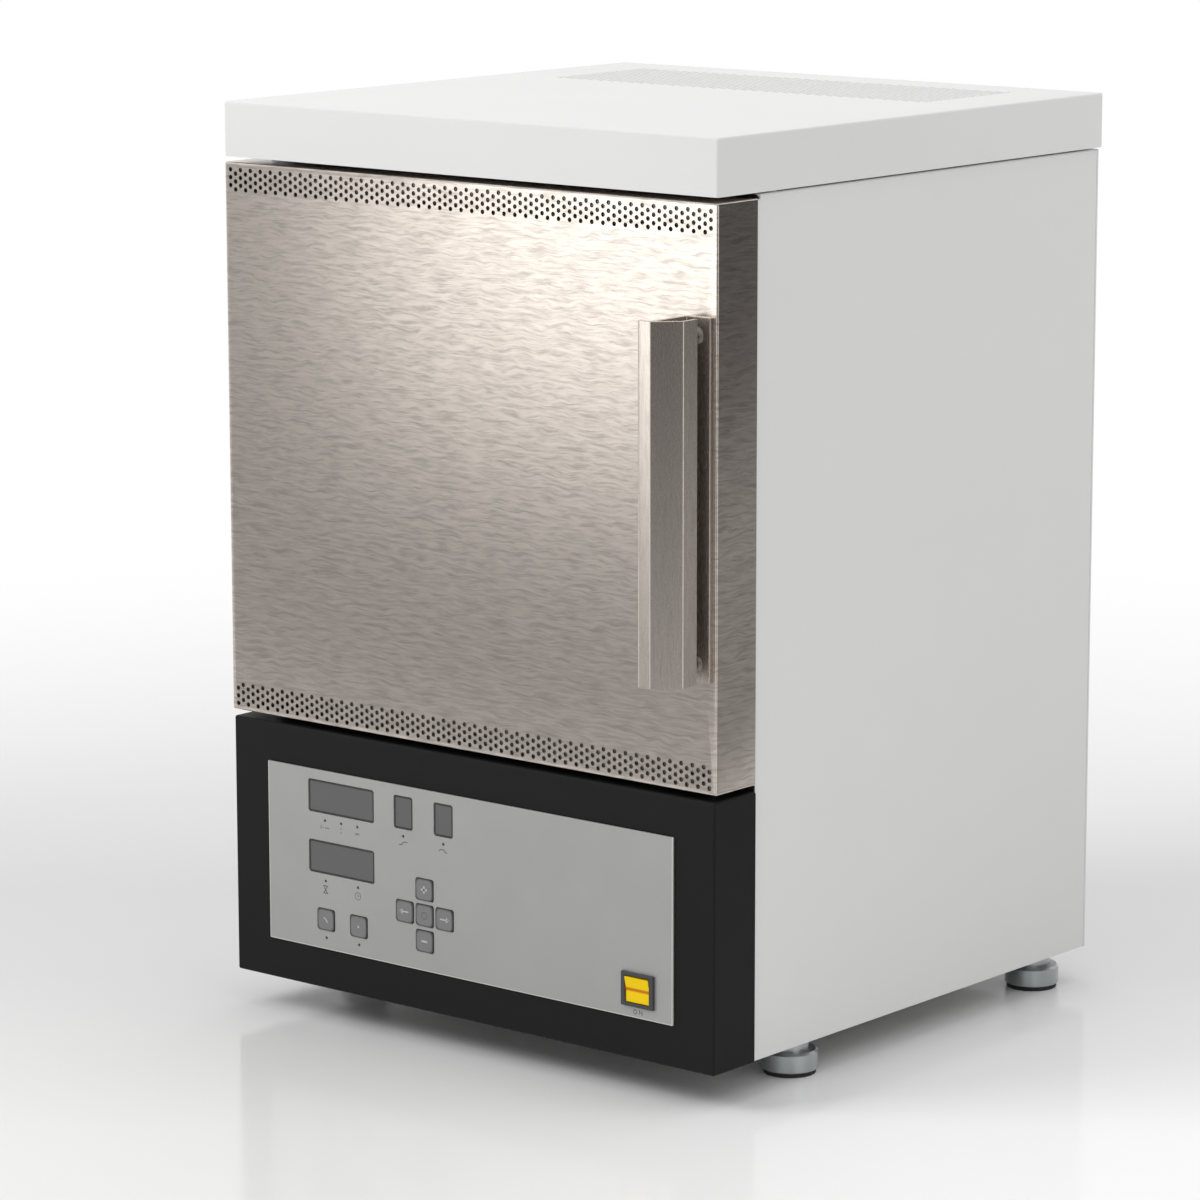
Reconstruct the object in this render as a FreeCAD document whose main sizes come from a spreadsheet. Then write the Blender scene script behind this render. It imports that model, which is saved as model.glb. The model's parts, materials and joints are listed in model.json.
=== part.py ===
import FreeCAD, Part
import os
import re
import Sketcher

# A front-loading laboratory furnace with a console below its door.
# Every piece is drawn in the case's own coordinates, in millimetres: X from the middle of
# the case, Y from the door's front face towards the back, and Z from the bottom of the case.
# The datum then moves it, so that the row stands on Z = 0 with its bounding box centred.

SIZES = {
    # Overall form
    "case_width": 400.0,
    "case_depth": 400.0,
    "foot_height": 23.0,
    "console_height": 169.8,
    "console_gap": 4.3,
    "door_height": 355.5,
    "door_depth": 38.0,
    "lid_gap": 3.4,
    "lid_height": 35.0,
    "frame_gap": 2.0,
    # Sheet metal
    "cover_sheet": 1.5,
    "frame_sheet": 1.5,
    "base_sheet": 2.0,
    "side_inset": 3.0,
    "lip_width": 15.0,
    "foot_lip": 30.0,
    "sheet_clearance": 0.2,
    "panel_drop": 1.5,
    "edge_radius": 1.5,
    "edge_break": 1.0,
    "corner_relief": 3.0,
    # Lid
    "lid_lip": 20.0,
    "vent_side": 46.0,
    "vent_depth": 96.0,
    "vent_back": 34.0,
    "vent_slot": 3.0,
    "vent_pitch": 8.7,
    "spacer_radius": 6.0,
    "spacer_inset": 12.0,
    "spacer_front": 20.0,
    "spacer_rear": 40.0,
    # Door
    "door_sheet": 1.2,
    "hole_side": 3.0,
    "hole_pitch": 13.0,
    "hole_inset": 5.0,
    "hole_low": 4.3,
    "hole_top": 4.8,
    "hole_row_pitch": 6.3,
    "tray_gap": 9.0,
    "tray_half": 102.0,
    "plug_front_half": 68.0,
    "plug_back_half": 66.0,
    "plug_reach": 40.0,
    "collar_clearance": 5.0,
    "seal_margin": 10.0,
    "seal_width": 7.0,
    "seal_clearance": 0.3,
    # Handle
    "handle_height": 219.0,
    "handle_lift": 0.75,
    "handle_inset": 5.6,
    "handle_wall": 3.0,
    "handle_reach": 37.5,
    "handle_strip": 10.5,
    "handle_bevel": 14.0,
    "handle_slot": 10.0,
    "handle_base": 18.0,
    "handle_step": 1.0,
    "handle_toe": 3.0,
    "handle_screw_inset": 10.5,
    "screw_radius": 3.0,
    "screw_head_radius": 5.0,
    "screw_head": 6.0,
    "screw_hole_clearance": 0.3,
    "screw_tail": 8.0,
    "screw_nut_radius": 5.5,
    "screw_nut": 5.0,
    # Hinges
    "hinge_offset": 6.0,
    "barrel_radius": 5.0,
    "hinge_height": 50.0,
    "hinge_spread": 250.0,
    "hinge_plate": 2.5,
    "hinge_leaf": 26.0,
    "door_leaf": 22.0,
    "leaf_gap": 0.5,
    "pin_radius": 2.5,
    "pin_clearance": 0.05,
    "knuckle_gap": 0.3,
    "pin_end": 1.0,
    # Chamber
    "chamber_half": 60.0,
    "chamber_depth": 160.0,
    "collar_depth": 40.5,
    "casing_half": 150.0,
    "casing_rear_gap": 110.0,
    "casing_sheet": 1.2,
    "window_half": 78.0,
    "hearth_half": 43.0,
    "hearth_sheet": 8.0,
    "hearth_end": 20.0,
    "hearth_start": 10.0,
    "rail_width": 25.0,
    "rail_place": 100.0,
    "rail_wall": 1.5,
    "rail_inset": 20.0,
    "shelf_rise": 2.2,
    "shelf_flange": 12.0,
    "shelf_slot_x": 130.0,
    "shelf_slot_back": 46.8,
    "shelf_slot_width": 30.0,
    "shelf_slot_depth": 20.0,
    # Heating elements
    "element_place": 50.0,
    "element_first": 125.0,
    "element_second": 195.0,
    "leg_spacing": 30.0,
    "leg_radius": 3.0,
    "terminal_radius": 6.0,
    "terminal_top": 35.0,
    "terminal_foot": 6.0,
    "element_drop": 92.0,
    "holder_length": 54.0,
    "holder_width": 24.0,
    "holder_head": 5.0,
    "holder_lip": 3.0,
    "holder_clearance": 0.3,
    "strap_width": 18.0,
    "strap_sheet": 4.0,
    "strap_level": 24.0,
    "thermo_radius": 4.0,
    "thermo_reach": 8.0,
    "thermo_clearance": 0.5,
    "thermo_head_radius": 15.0,
    "thermo_head": 28.0,
    # Catches
    "magnet_radius": 8.0,
    "magnet_inset": 35.0,
    "magnet_spread": 200.0,
    "magnet_depth": 7.0,
    "magnet_collar": 1.5,
    "magnet_clearance": 0.3,
    # Console
    "console_inset": 1.0,
    "console_wall": 2.0,
    "panel_inset": 32.0,
    "panel_low": 26.7,
    "panel_top_inset": 25.4,
    "panel_sheet": 1.5,
    "window_margin": 5.0,
    "screen_corner": 1.2,
    "wide_screen": 56.8,
    "narrow_screen": 16.0,
    "screen_height": 21.6,
    "wide_screen_inset": 63.6,
    "upper_screen_drop": 17.4,
    "screen_row_pitch": 39.8,
    "narrow_screen_inset": 117.0,
    "narrow_screen_step": 33.8,
    "screen_clearance": 0.2,
    "screen_flange": 1.0,
    "screen_sink": 0.6,
    "module_margin": 1.0,
    "lens_radius": 0.9,
    "lens_clearance": 0.1,
    "lens_sink": 0.2,
    "lens_drop": 15.3,
    "lens_step": 14.0,
    "key_lens_drop": 12.1,
    "key_size": 15.2,
    "key_height": 14.5,
    "key_pitch": 16.8,
    "key_clearance": 0.3,
    "key_proud": 0.6,
    "key_flange": 1.2,
    "key_travel_room": 0.9,
    "key_stem": 2.5,
    "key_stem_length": 3.0,
    "key_switch": 6.2,
    "key_column_one_inset": 49.8,
    "key_column_two_inset": 78.2,
    "key_row_rise": 19.7,
    "cross_inset": 134.8,
    "cross_rise": 36.3,
    "board_level": 12.0,
    "board_sheet": 1.6,
    "board_width": 151.0,
    "board_inset": 19.0,
    "spacer_post": 3.0,
    "post_margin": 1.5,
    "chip_size": 24.0,
    "chip_height": 3.4,
    "chip_inset": 35.0,
    "chip_pitch": 50.0,
    "relay_length": 30.0,
    "relay_width": 16.0,
    "relay_height": 15.4,
    # Power switch
    "switch_inset": 26.6,
    "switch_rise": 18.0,
    "bezel_width": 25.2,
    "bezel_height": 21.4,
    "bezel_proud": 2.0,
    "bezel_lip": 1.5,
    "switch_reach": 16.0,
    "rocker_half_width": 9.2,
    "rocker_half": 8.0,
    "rocker_skirt": 7.6,
    "rocker_belly": 4.8,
    "rocker_flat": 3.2,
    "rocker_tilt": 6.0,
    "rocker_clearance": 0.5,
    "rocker_pivot": 1.5,
    "rocker_crown": 0.5,
    "rocker_pin": 1.0,
    "rocker_pin_length": 1.0,
    # Feet
    "foot_radius": 17.75,
    "foot_inset": 22.0,
    "foot_front": 102.5,
    "foot_rear_inset": 34.0,
    "foot_neck": 7.7,
    "foot_neck_radius": 12.0,
    "foot_pad": 2.8,
    "foot_pad_radius": 16.5,
    "stud_radius": 4.0,
    "stud_clearance": 0.3,
    "stud_top": 11.0,
    "nut_radius": 7.5,
    "nut_height": 6.0,
    "rear_screw_low": 45.0,
    "rear_screw_radius": 3.2,
    "rear_screw_head": 1.8,
    # Fan and power parts
    "rear_proud": 2.5,
    "fan_size": 92.0,
    "fan_depth": 25.0,
    "fan_inset": 100.0,
    "fan_z": 82.0,
    "fan_bore": 43.0,
    "fan_tip_clearance": 1.5,
    "fan_motor": 4.0,
    "fan_arm": 5.0,
    "fan_hub": 18.0,
    "fan_blades": 7,
    "blade_sheet": 1.6,
    "blade_chord": 14.6,
    "rotor_front": 3.0,
    "rotor_gap": 1.0,
    "rotor_cap": 2.0,
    "spindle_front": 6.0,
    "blade_pitch": 38.0,
    "fan_spindle": 3.0,
    "guard_wire": 2.0,
    "guard_overlap": 1.0,
    "guard_pitch": 21.0,
    "inlet_inset": 80.0,
    "inlet_z": 60.0,
    "inlet_width": 50.0,
    "inlet_height": 28.0,
    "inlet_rim": 4.0,
    "inlet_wall": 3.0,
    "inlet_reach": 24.0,
    "inlet_well": 16.0,
    "inlet_pin_width": 2.0,
    "inlet_pin_height": 5.0,
    "inlet_pin_length": 14.0,
    "inlet_pin_spread": 9.0,
    "inlet_pin_lift": 2.5,
    "louvre_rows": 8,
    "louvre_pitch": 14.0,
    "louvre_width": 60.0,
    "louvre_height": 4.0,
    "louvre_x": 110.0,
    "louvre_drop": 131.5,
    "toroid_radius": 65.0,
    "toroid_bore": 20.0,
    "toroid_height": 58.0,
    "toroid_inset": 110.0,
    "toroid_y": 235.0,
    "toroid_break": 8.0,
    "clamp_radius": 34.0,
    "clamp_sheet": 3.0,
    "clamp_bolt": 4.0,
    "clamp_bolt_rise": 8.0,
    "clamp_nut": 7.0,
    "clamp_nut_height": 6.0,
    "sink_length": 140.0,
    "sink_height": 100.0,
    "sink_depth": 50.0,
    "sink_base": 8.0,
    "sink_fins": 7,
    "fin_sheet": 3.0,
    "sink_x": 60.0,
    "sink_y": 170.0,
    "module_length": 94.0,
    "module_height": 34.0,
    "module_depth": 30.0,
    "contactor_width": 45.0,
    "contactor_depth": 60.0,
    "contactor_height": 75.0,
    "contactor_shoulder": 52.5,
    "contactor_crown": 33.0,
    "contactor_x": -10.0,
    "contactor_y": 110.0,
}

# Places that follow from the sizes
PLACES = {
    "half": "case_width / 2",
    "door_low": "console_height + console_gap",
    "door_high": "door_low + door_height",
    "door_mid": "door_low + door_height / 2",
    "lid_low": "door_high + lid_gap",
    "lid_high": "lid_low + lid_height",
    "lid_inside": "lid_high - cover_sheet",
    "frame_front": "door_depth + frame_gap",
    "frame_back": "frame_front + frame_sheet",
    "side_out": "half - side_inset",
    "side_in": "side_out - cover_sheet",
    "side_lip": "side_in - lip_width",
    "side_foot_lip": "side_in - foot_lip",
    "side_top": "lid_low - panel_drop",
    "rear_in": "case_depth - cover_sheet",
    "bay_half": "side_in - sheet_clearance",
    "bay_front": "frame_back + cover_sheet + sheet_clearance",
    "bay_back": "rear_in - cover_sheet - sheet_clearance",
    "shelf_height": "console_height + shelf_rise",
    "shelf_slot_y": "bay_back - shelf_slot_back",
    "shelf_top": "shelf_height + frame_sheet",
    "vent_width": "case_width - 2 * vent_side",
    "vent_end": "case_depth - vent_back",
    "vent_start": "vent_end - vent_depth",
    "hinge_x": "0 - half - hinge_offset",
    "hinge_y": "door_depth + frame_gap / 2",
    "outer_left": "hinge_x - barrel_radius",
    "outer_back": "case_depth + rear_proud",
    "datum_x": "0 - (outer_left + half) / 2",
    "datum_y": "(handle_reach - outer_back) / 2",
    "inner_back": "door_depth - frame_sheet",
    "tray_front": "door_sheet + tray_gap",
    "plug_end": "door_depth + plug_reach",
    "collar_half": "plug_back_half + collar_clearance",
    "chamber_start": "frame_back + collar_depth",
    "chamber_end": "chamber_start + chamber_depth",
    "hearth_depth": "chamber_depth - hearth_start - hearth_end",
    "casing_depth": "case_depth - casing_rear_gap",
    "casing_in": "casing_half - casing_sheet",
    "casing_back": "frame_back + casing_depth",
    "lining_back": "casing_back - casing_sheet",
    "casing_low": "door_mid - casing_half",
    "casing_high": "door_mid + casing_half",
    "roof_low": "door_mid + chamber_half",
    "roof_high": "door_mid + casing_in",
    "floor_high": "door_mid - chamber_half",
    "floor_low": "door_mid - casing_in",
    "handle_middle": "door_mid + handle_lift",
    "handle_right": "half - handle_inset",
    "handle_screw_span": "handle_height - 2 * handle_screw_inset",
    "magnet_place": "half - magnet_inset",
    "foot_x": "half - foot_inset",
    "foot_back": "case_depth - foot_rear_inset",
    "handle_low": "handle_middle - handle_height / 2",
    "handle_high": "handle_middle + handle_height / 2",
    "handle_screw_x": "handle_right - (handle_base - handle_wall) / 2",
    "panel_half": "half - panel_inset",
    "panel_high": "console_height - panel_top_inset",
    "upper_screen_z": "panel_high - upper_screen_drop",
    "lower_screen_z": "upper_screen_z - screen_row_pitch",
    "wide_screen_x": "wide_screen_inset - panel_half",
    "narrow_screen_x": "narrow_screen_inset - panel_half",
    "screen_two_x": "narrow_screen_x + narrow_screen_step",
    "key_column_one": "key_column_one_inset - panel_half",
    "key_column_two": "key_column_two_inset - panel_half",
    "key_row_low": "panel_low + key_row_rise",
    "cross_x": "cross_inset - panel_half",
    "cross_z": "panel_low + cross_rise",
    "board_left": "board_inset - panel_half",
    "board_right": "board_left + board_width",
    "board_low": "panel_low + window_margin",
    "board_high": "panel_high - window_margin",
    "board_back": "board_level + board_sheet",
    "switch_x": "panel_half - switch_inset",
    "switch_z": "panel_low + switch_rise",
    "rotor_length": "fan_depth - fan_motor - rotor_front - rotor_gap",
    "fan_x": "half - fan_inset",
    "inlet_x": "inlet_inset - half",
    "trunk_width": "inlet_width - 2 * inlet_rim",
    "trunk_height": "inlet_height - 2 * inlet_rim",
    "louvre_z": "side_top - louvre_drop",
    "toroid_x": "toroid_inset - half",
    "toroid_top": "base_sheet + toroid_height",
}

FINISHED = []
# How far a cutting tool, or the root of a fused piece, runs past a face
PAST = 1
WORD = re.compile(r"[a-z][a-z_]*")

doc = FreeCAD.newDocument("sintering_furnace")
sheet = doc.addObject("Spreadsheet::Sheet", "Sizes")
for row, (alias, size) in enumerate(SIZES.items(), 1):
    sheet.set(f"A{row}", alias)
    sheet.set(f"B{row}", str(size))
    sheet.setAlias(f"B{row}", alias)
doc.recompute()


def expand(text):
    """Write an expression out in terms of the sheet's cells."""
    def swap(match):
        word = match.group()
        if word in PLACES:
            return "(" + expand(PLACES[word]) + ")"
        return "Sizes." + word if word in SIZES else word
    return WORD.sub(swap, str(text))


def value(text):
    """The number that an expression gives now."""
    return float(sheet.evalExpression(expand(text)))


def bind(thing, name, text):
    thing.setExpression(name, expand(text))


def seat(thing, node, shift=("0", "0", "0")):
    """Name a finished piece and move it from case coordinates to the row's frame."""
    thing.Label = node
    for axis, datum, extra in zip("xyz", ("datum_x", "datum_y", "foot_height"), shift):
        bind(thing, f"Placement.Base.{axis}", f"{datum} + ({extra})")
    FINISHED.append(thing)
    return thing


def box(name, across, deep, high):
    """A block between pairs of low and high places on X, Y and Z."""
    block = doc.addObject("Part::Box", name)
    for size, axis, (low, top) in zip(("Length", "Width", "Height"), "xyz", (across, deep, high)):
        bind(block, size, f"({top}) - ({low})")
        bind(block, f"Placement.Base.{axis}", low)
    return block


def mid(centre, width):
    """The low and high places of a width about a centre."""
    return f"({centre}) - ({width}) / 2", f"({centre}) + ({width}) / 2"


def both(half):
    return f"0 - ({half})", half


def stand(bar, axis, spot, low, top):
    """Lay a bar along an axis, from low to top, about a spot on the other two axes."""
    turns = {"X": FreeCAD.Rotation(FreeCAD.Vector(0, 1, 0), 90),
             "Y": FreeCAD.Rotation(FreeCAD.Vector(1, 0, 0), -90),
             "Z": FreeCAD.Rotation()}
    bar.Placement = FreeCAD.Placement(FreeCAD.Vector(), turns[axis])
    places = list(spot)
    places.insert("XYZ".index(axis), low)
    for letter, place in zip("xyz", places):
        bind(bar, f"Placement.Base.{letter}", place)
    bind(bar, "Height", f"({top}) - ({low})")
    return bar


def round_bar(name, axis, spot, radius, low, top):
    bar = doc.addObject("Part::Cylinder", name)
    bind(bar, "Radius", radius)
    return stand(bar, axis, spot, low, top)


def sided_bar(name, sides, axis, spot, corner, low, top):
    """A bar with flat sides, for round pieces that are small or hidden."""
    bar = doc.addObject("Part::Prism", name)
    bar.Polygon = sides
    bind(bar, "Circumradius", corner)
    return stand(bar, axis, spot, low, top)


def cut(name, base, *tools):
    for step, tool in enumerate(tools):
        result = doc.addObject("Part::Cut", f"{name}_{step}")
        result.Base = base
        result.Tool = tool
        base = result
    return base


def fuse(name, *pieces):
    result = doc.addObject("Part::MultiFuse", name)
    result.Shapes = list(pieces)
    return result


def group(name, *pieces):
    """Separate solids kept together, such as identical fasteners."""
    result = doc.addObject("Part::Compound", name)
    result.Links = list(pieces)
    return result


def new_body(name):
    return doc.addObject("PartDesign::Body", name)


def sketch_across(body, axis, level):
    """An empty sketch at right angles to an axis, at a level along it."""
    role, sign = {"X": ("YZ_Plane", 1), "Y": ("XZ_Plane", -1), "Z": ("XY_Plane", 1)}[axis]
    sketch = body.newObject("Sketcher::SketchObject", body.Name + "_sketch")
    plane = [item for item in body.Origin.OriginFeatures if item.Role == role][0]
    sketch.AttachmentSupport = (plane, [""])
    sketch.MapMode = "FlatFace"
    bind(sketch, "AttachmentOffset.Base.z", f"{sign} * ({level})")
    return sketch


def hold(sketch, kind, edge, point, text):
    index = sketch.addConstraint(Sketcher.Constraint(kind, -1, 1, edge, point, value(text)))
    bind(sketch, f"Constraints[{index}]", text)


def draw(sketch, corners, closed=True):
    """An outline of straight edges through corners given as expressions."""
    spots = [FreeCAD.Vector(value(across), value(up), 0) for across, up in corners]
    first = sketch.GeometryCount
    ends = spots[1:] + spots[:1] if closed else spots[1:]
    for here, there in zip(spots, ends):
        sketch.addGeometry(Part.LineSegment(here, there), False)
    count = len(ends)
    for step in range(count if closed else count - 1):
        after = first + (step + 1) % count
        sketch.addConstraint(Sketcher.Constraint("Coincident", first + step, 2, after, 1))
    for step, (across, up) in enumerate(corners):
        edge, point = (first + step, 1) if step < count else (first + count - 1, 2)
        hold(sketch, "DistanceX", edge, point, across)
        hold(sketch, "DistanceY", edge, point, up)


def frame_of(across, up):
    """The four corners of a rectangle between two pairs of places."""
    return [(across[0], up[0]), (across[1], up[0]), (across[1], up[1]), (across[0], up[1])]


def clipped(across, up, corner):
    """A rectangle with its corners cut off by a small size."""
    left, right = across
    low, top = up
    return [(f"{left} + {corner}", low), (f"{right} - ({corner})", low),
            (right, f"{low} + {corner}"), (right, f"{top} - ({corner})"),
            (f"{right} - ({corner})", top), (f"{left} + {corner}", top),
            (left, f"{top} - ({corner})"), (left, f"{low} + {corner}")]


def sided(across, up, radius, sides=6):
    """The corners of a regular outline, the first one straight across from its centre."""
    turns = [360 / sides * number for number in range(sides)]
    return [(f"({across}) + ({radius}) * cos({turn})", f"({up}) + ({radius}) * sin({turn})")
            for turn in turns]


def ring(sketch, across, up, radius):
    """A full circle."""
    centre = FreeCAD.Vector(value(across), value(up), 0)
    edge = sketch.GeometryCount
    circle = Part.Circle(centre, FreeCAD.Vector(0, 0, 1), value(radius))
    sketch.addGeometry(circle, False)
    hold(sketch, "DistanceX", edge, 3, across)
    hold(sketch, "DistanceY", edge, 3, up)
    index = sketch.addConstraint(Sketcher.Constraint("Radius", edge, value(radius)))
    bind(sketch, f"Constraints[{index}]", radius)


def pad(body, axis, low, top, outlines=(), rings=()):
    """Grow the body from outlines, between two levels along an axis."""
    sketch = sketch_across(body, axis, low)
    for corners in outlines:
        draw(sketch, corners)
    for across, up, radius in rings:
        ring(sketch, across, up, radius)
    feature = body.newObject("PartDesign::Pad", body.Name + "_pad")
    feature.Profile = sketch
    feature.Reversed = axis == "Y"
    bind(feature, "Length", f"({top}) - ({low})")
    doc.recompute()
    return feature


def pocket(body, axis, low, top, outlines=(), rings=()):
    """Cut outlines out of the body, between two levels along an axis."""
    before = body.Shape.Volume
    sketch = sketch_across(body, axis, low)
    for corners in outlines:
        draw(sketch, corners)
    for across, up, radius in rings:
        ring(sketch, across, up, radius)
    feature = body.newObject("PartDesign::Pocket", body.Name + "_pocket")
    feature.Profile = sketch
    feature.Reversed = axis != "Y"
    bind(feature, "Length", f"({top}) - ({low})")
    doc.recompute()
    if not body.Shape.Volume < before:
        raise RuntimeError(body.Name + ": a pocket cuts nothing")
    return feature


def repeat_along_x(body, feature, pitch, count):
    """Copy a feature of the body along X at an even pitch."""
    pattern = body.newObject("PartDesign::LinearPattern", body.Name + "_pattern")
    pattern.Originals = [feature]
    pattern.Direction = (feature.Profile[0], ["H_Axis"])
    pattern.Occurrences = count
    bind(pattern, "Length", f"{count - 1} * {pitch}")
    body.Tip = pattern
    doc.recompute()
    return pattern


def edges_along(shape, direction, keep):
    """The names of straight edges along a direction whose middle passes a test."""
    names = []
    for number, edge in enumerate(shape.Edges, 1):
        if not isinstance(edge.Curve, Part.Line):
            continue
        if abs(edge.Curve.Direction.dot(direction)) < 0.999:
            continue
        if keep(edge.CenterOfMass):
            names.append(f"Edge{number}")
    return names


def dress_edges(body, kind, size, names):
    """Fillet or chamfer the named edges."""
    base = body.Tip
    feature = body.newObject(f"PartDesign::{kind}", f"{body.Name}_{kind.lower()}")
    feature.Base = (base, names)
    bind(feature, "Radius" if kind == "Fillet" else "Size", size)
    doc.recompute()
    return feature


ALONG_X = FreeCAD.Vector(1, 0, 0)
ALONG_Y = FreeCAD.Vector(0, 1, 0)
ALONG_Z = FreeCAD.Vector(0, 0, 1)


# Outer case

def top_cover():
    body = new_body("TopCover")
    pad(body, "Z", "lid_low", "lid_high", [frame_of(both("half"), ("0", "case_depth"))])
    top = value("lid_high") - PAST
    names = edges_along(body.Shape, ALONG_Z, lambda spot: True)
    for line in (ALONG_X, ALONG_Y):
        names += edges_along(body.Shape, line, lambda spot: spot.z > top)
    dress_edges(body, "Chamfer", "edge_break", names)
    inner = (both("half - cover_sheet"), ("cover_sheet", "case_depth - cover_sheet"))
    pocket(body, "Z", "lid_low + cover_sheet", "lid_inside", [frame_of(*inner)])
    opening = (both("half - lid_lip"), ("bay_front", "case_depth - lid_lip"))
    pocket(body, "Z", "lid_low", "lid_low + cover_sheet", [frame_of(*opening)])
    count = int(value("vent_depth") / value("vent_pitch"))
    slots = []
    for row in range(count):
        start = f"vent_start + {row} * vent_pitch"
        slots.append(frame_of(both("vent_width / 2"), (start, f"{start} + vent_slot")))
    pocket(body, "Z", "lid_inside", "lid_high", slots)
    return seat(body, "top_cover")


def side_panel(node, side):
    """A folded side: a flat sheet with a lip along each edge, mirrored by its side."""
    def out(place):
        return f"{side} * ({place})"
    body = new_body(node)
    above = "base_sheet + cover_sheet"
    section = [(out("side_out"), "0"), (out("side_out"), "side_top"),
               (out("side_lip"), "side_top"), (out("side_lip"), "side_top - cover_sheet"),
               (out("side_in"), "side_top - cover_sheet"), (out("side_in"), above),
               (out("side_foot_lip"), above), (out("side_foot_lip"), "base_sheet"),
               (out("side_in"), "base_sheet"), (out("side_in"), "0")]
    pad(body, "Y", "frame_back", "rear_in", [section])
    lip = frame_of((out("side_in"), out("side_lip")), (above, "side_top - cover_sheet"))
    pad(body, "Y", "frame_back", "frame_back + cover_sheet", [lip])
    pad(body, "Y", "rear_in - cover_sheet", "rear_in", [lip])
    notch = frame_of(("frame_back", "frame_back + corner_relief"),
                     ("side_top - corner_relief", "side_top"))
    low, top = ("side_in", "side_out") if side > 0 else ("0 - side_out", "0 - side_in")
    pocket(body, "X", low, top, [notch])
    studs = [sided(out("foot_x"), place, "stud_radius + stud_clearance")
             for place in ("foot_front", "foot_back")]
    pocket(body, "Z", "base_sheet", above, studs)
    return seat(body, node)


def front_frame():
    body = new_body("FrontFrame")
    pad(body, "Y", "frame_front", "frame_back", [frame_of(both("side_out"), ("0", "side_top"))])
    chamber = frame_of(both("window_half"), mid("door_mid", "2 * window_half"))
    console = frame_of(both("panel_half"), ("panel_low", "panel_high"))
    magnets = [sided("magnet_place", place, "magnet_radius + sheet_clearance", 12)
               for place in mid("door_mid", "magnet_spread")]
    pocket(body, "Y", "frame_front", "frame_back", [chamber, console, *magnets])
    return seat(body, "front_frame")


def rear_panel():
    body = new_body("RearPanel")
    pad(body, "Y", "rear_in", "case_depth", [frame_of(both("side_out"), ("0", "side_top"))])
    openings = [frame_of(mid("inlet_x", "trunk_width + 2 * sheet_clearance"),
                         mid("inlet_z", "trunk_height + 2 * sheet_clearance"))]
    for row in range(int(value("louvre_rows"))):
        for side in (-1, 1):
            level = f"louvre_z + {row} * louvre_pitch"
            openings.append(frame_of(mid(f"{side} * louvre_x", "louvre_width"),
                                     mid(level, "louvre_height")))
    openings.append(sided("fan_x", "fan_z", "fan_bore", 24))
    pocket(body, "Y", "rear_in", "case_depth", openings)
    return seat(body, "rear_panel")


def base_plate():
    plate = box("BasePlate", both("bay_half"), ("bay_front", "bay_back"), ("0", "base_sheet"))
    holes = [sided_bar("BaseHole", 6, "Z", spot, "stud_radius + stud_clearance", f"0 - {PAST}",
                       f"base_sheet + {PAST}") for spot in foot_spots()]
    return seat(cut("BasePlateCut", plate, *holes), "base_plate")


def middle_shelf():
    """A shelf with its sides folded down and two slots for the wiring."""
    low = "shelf_height - shelf_flange"
    shelf = box("Shelf", both("bay_half"), ("bay_front", "bay_back"), (low, "shelf_top"))
    below = box("ShelfBelow", both("bay_half - frame_sheet"),
                (f"bay_front - {PAST}", f"bay_back + {PAST}"), (f"{low} - {PAST}", "shelf_height"))
    slots = [box("ShelfSlot", mid(f"{side} * shelf_slot_x", "shelf_slot_width"),
                 mid("shelf_slot_y", "shelf_slot_depth"), (low, f"shelf_top + {PAST}"))
             for side in (-1, 1)]
    return seat(cut("ShelfCut", shelf, below, *slots), "middle_shelf")


def lid_spots():
    across = ("half - spacer_inset", "0 - half + spacer_inset")
    deep = ("bay_front + spacer_front", "case_depth - spacer_rear")
    return [(x, y) for x in across for y in deep]


def lid_spacers():
    discs = [sided_bar("LidSpacer", 8, "Z", spot, "spacer_radius", "side_top", "lid_low")
             for spot in lid_spots()]
    return seat(group("LidSpacers", *discs), "lid_spacers")


def case_fasteners():
    """Screws that hold the rear panel to the lips of the sides, and a nut on each foot's stud."""
    pieces = []
    for side in (-1, 1):
        for level in ("rear_screw_low", "side_top / 2", "side_top - rear_screw_low"):
            spot = (f"{side} * (side_in - lip_width / 2)", level)
            pieces.append(sided_bar("RearScrew", 6, "Y", spot, "rear_screw_radius", "case_depth",
                                    "case_depth + rear_screw_head"))
    low = "base_sheet + cover_sheet"
    for spot in foot_spots():
        nut = sided_bar("FootNut", 6, "Z", spot, "nut_radius", low, f"{low} + nut_height")
        bore = sided_bar("FootNutBore", 6, "Z", spot, "stud_radius", f"{low} - {PAST}",
                         f"{low} + nut_height + {PAST}")
        pieces.append(cut("FootNutCut", nut, bore))
    return seat(group("CaseFasteners", *pieces), "case_fasteners")


# Feet

def foot_spots():
    return [(x, y) for x in ("foot_x", "0 - foot_x") for y in ("foot_front", "foot_back")]


def feet():
    """Turned metal feet, each with a thinner neck and a stud through the base plate."""
    turned = []
    for spot in foot_spots():
        disc = round_bar("FootDisc", "Z", spot, "foot_radius", "foot_pad - foot_height",
                         "0 - foot_neck")
        neck = sided_bar("FootNeck", 12, "Z", spot, "foot_neck_radius", f"0 - foot_neck - {PAST}",
                         "0")
        stud = sided_bar("FootStud", 6, "Z", spot, "stud_radius", f"0 - {PAST}", "stud_top")
        turned.append(fuse("Foot", disc, neck, stud))
    return seat(group("Feet", *turned), "feet")


def foot_pads():
    pads = [sided_bar("FootPad", 20, "Z", spot, "foot_pad_radius", "0 - foot_height",
                      "foot_pad - foot_height") for spot in foot_spots()]
    return seat(group("FootPads", *pads), "foot_pads")


# Door

def handle_holes():
    """Outlines of the two holes that the handle's screws pass."""
    return [sided("handle_screw_x", place, "screw_radius + screw_hole_clearance")
            for place in mid("handle_middle", "handle_screw_span")]


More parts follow.
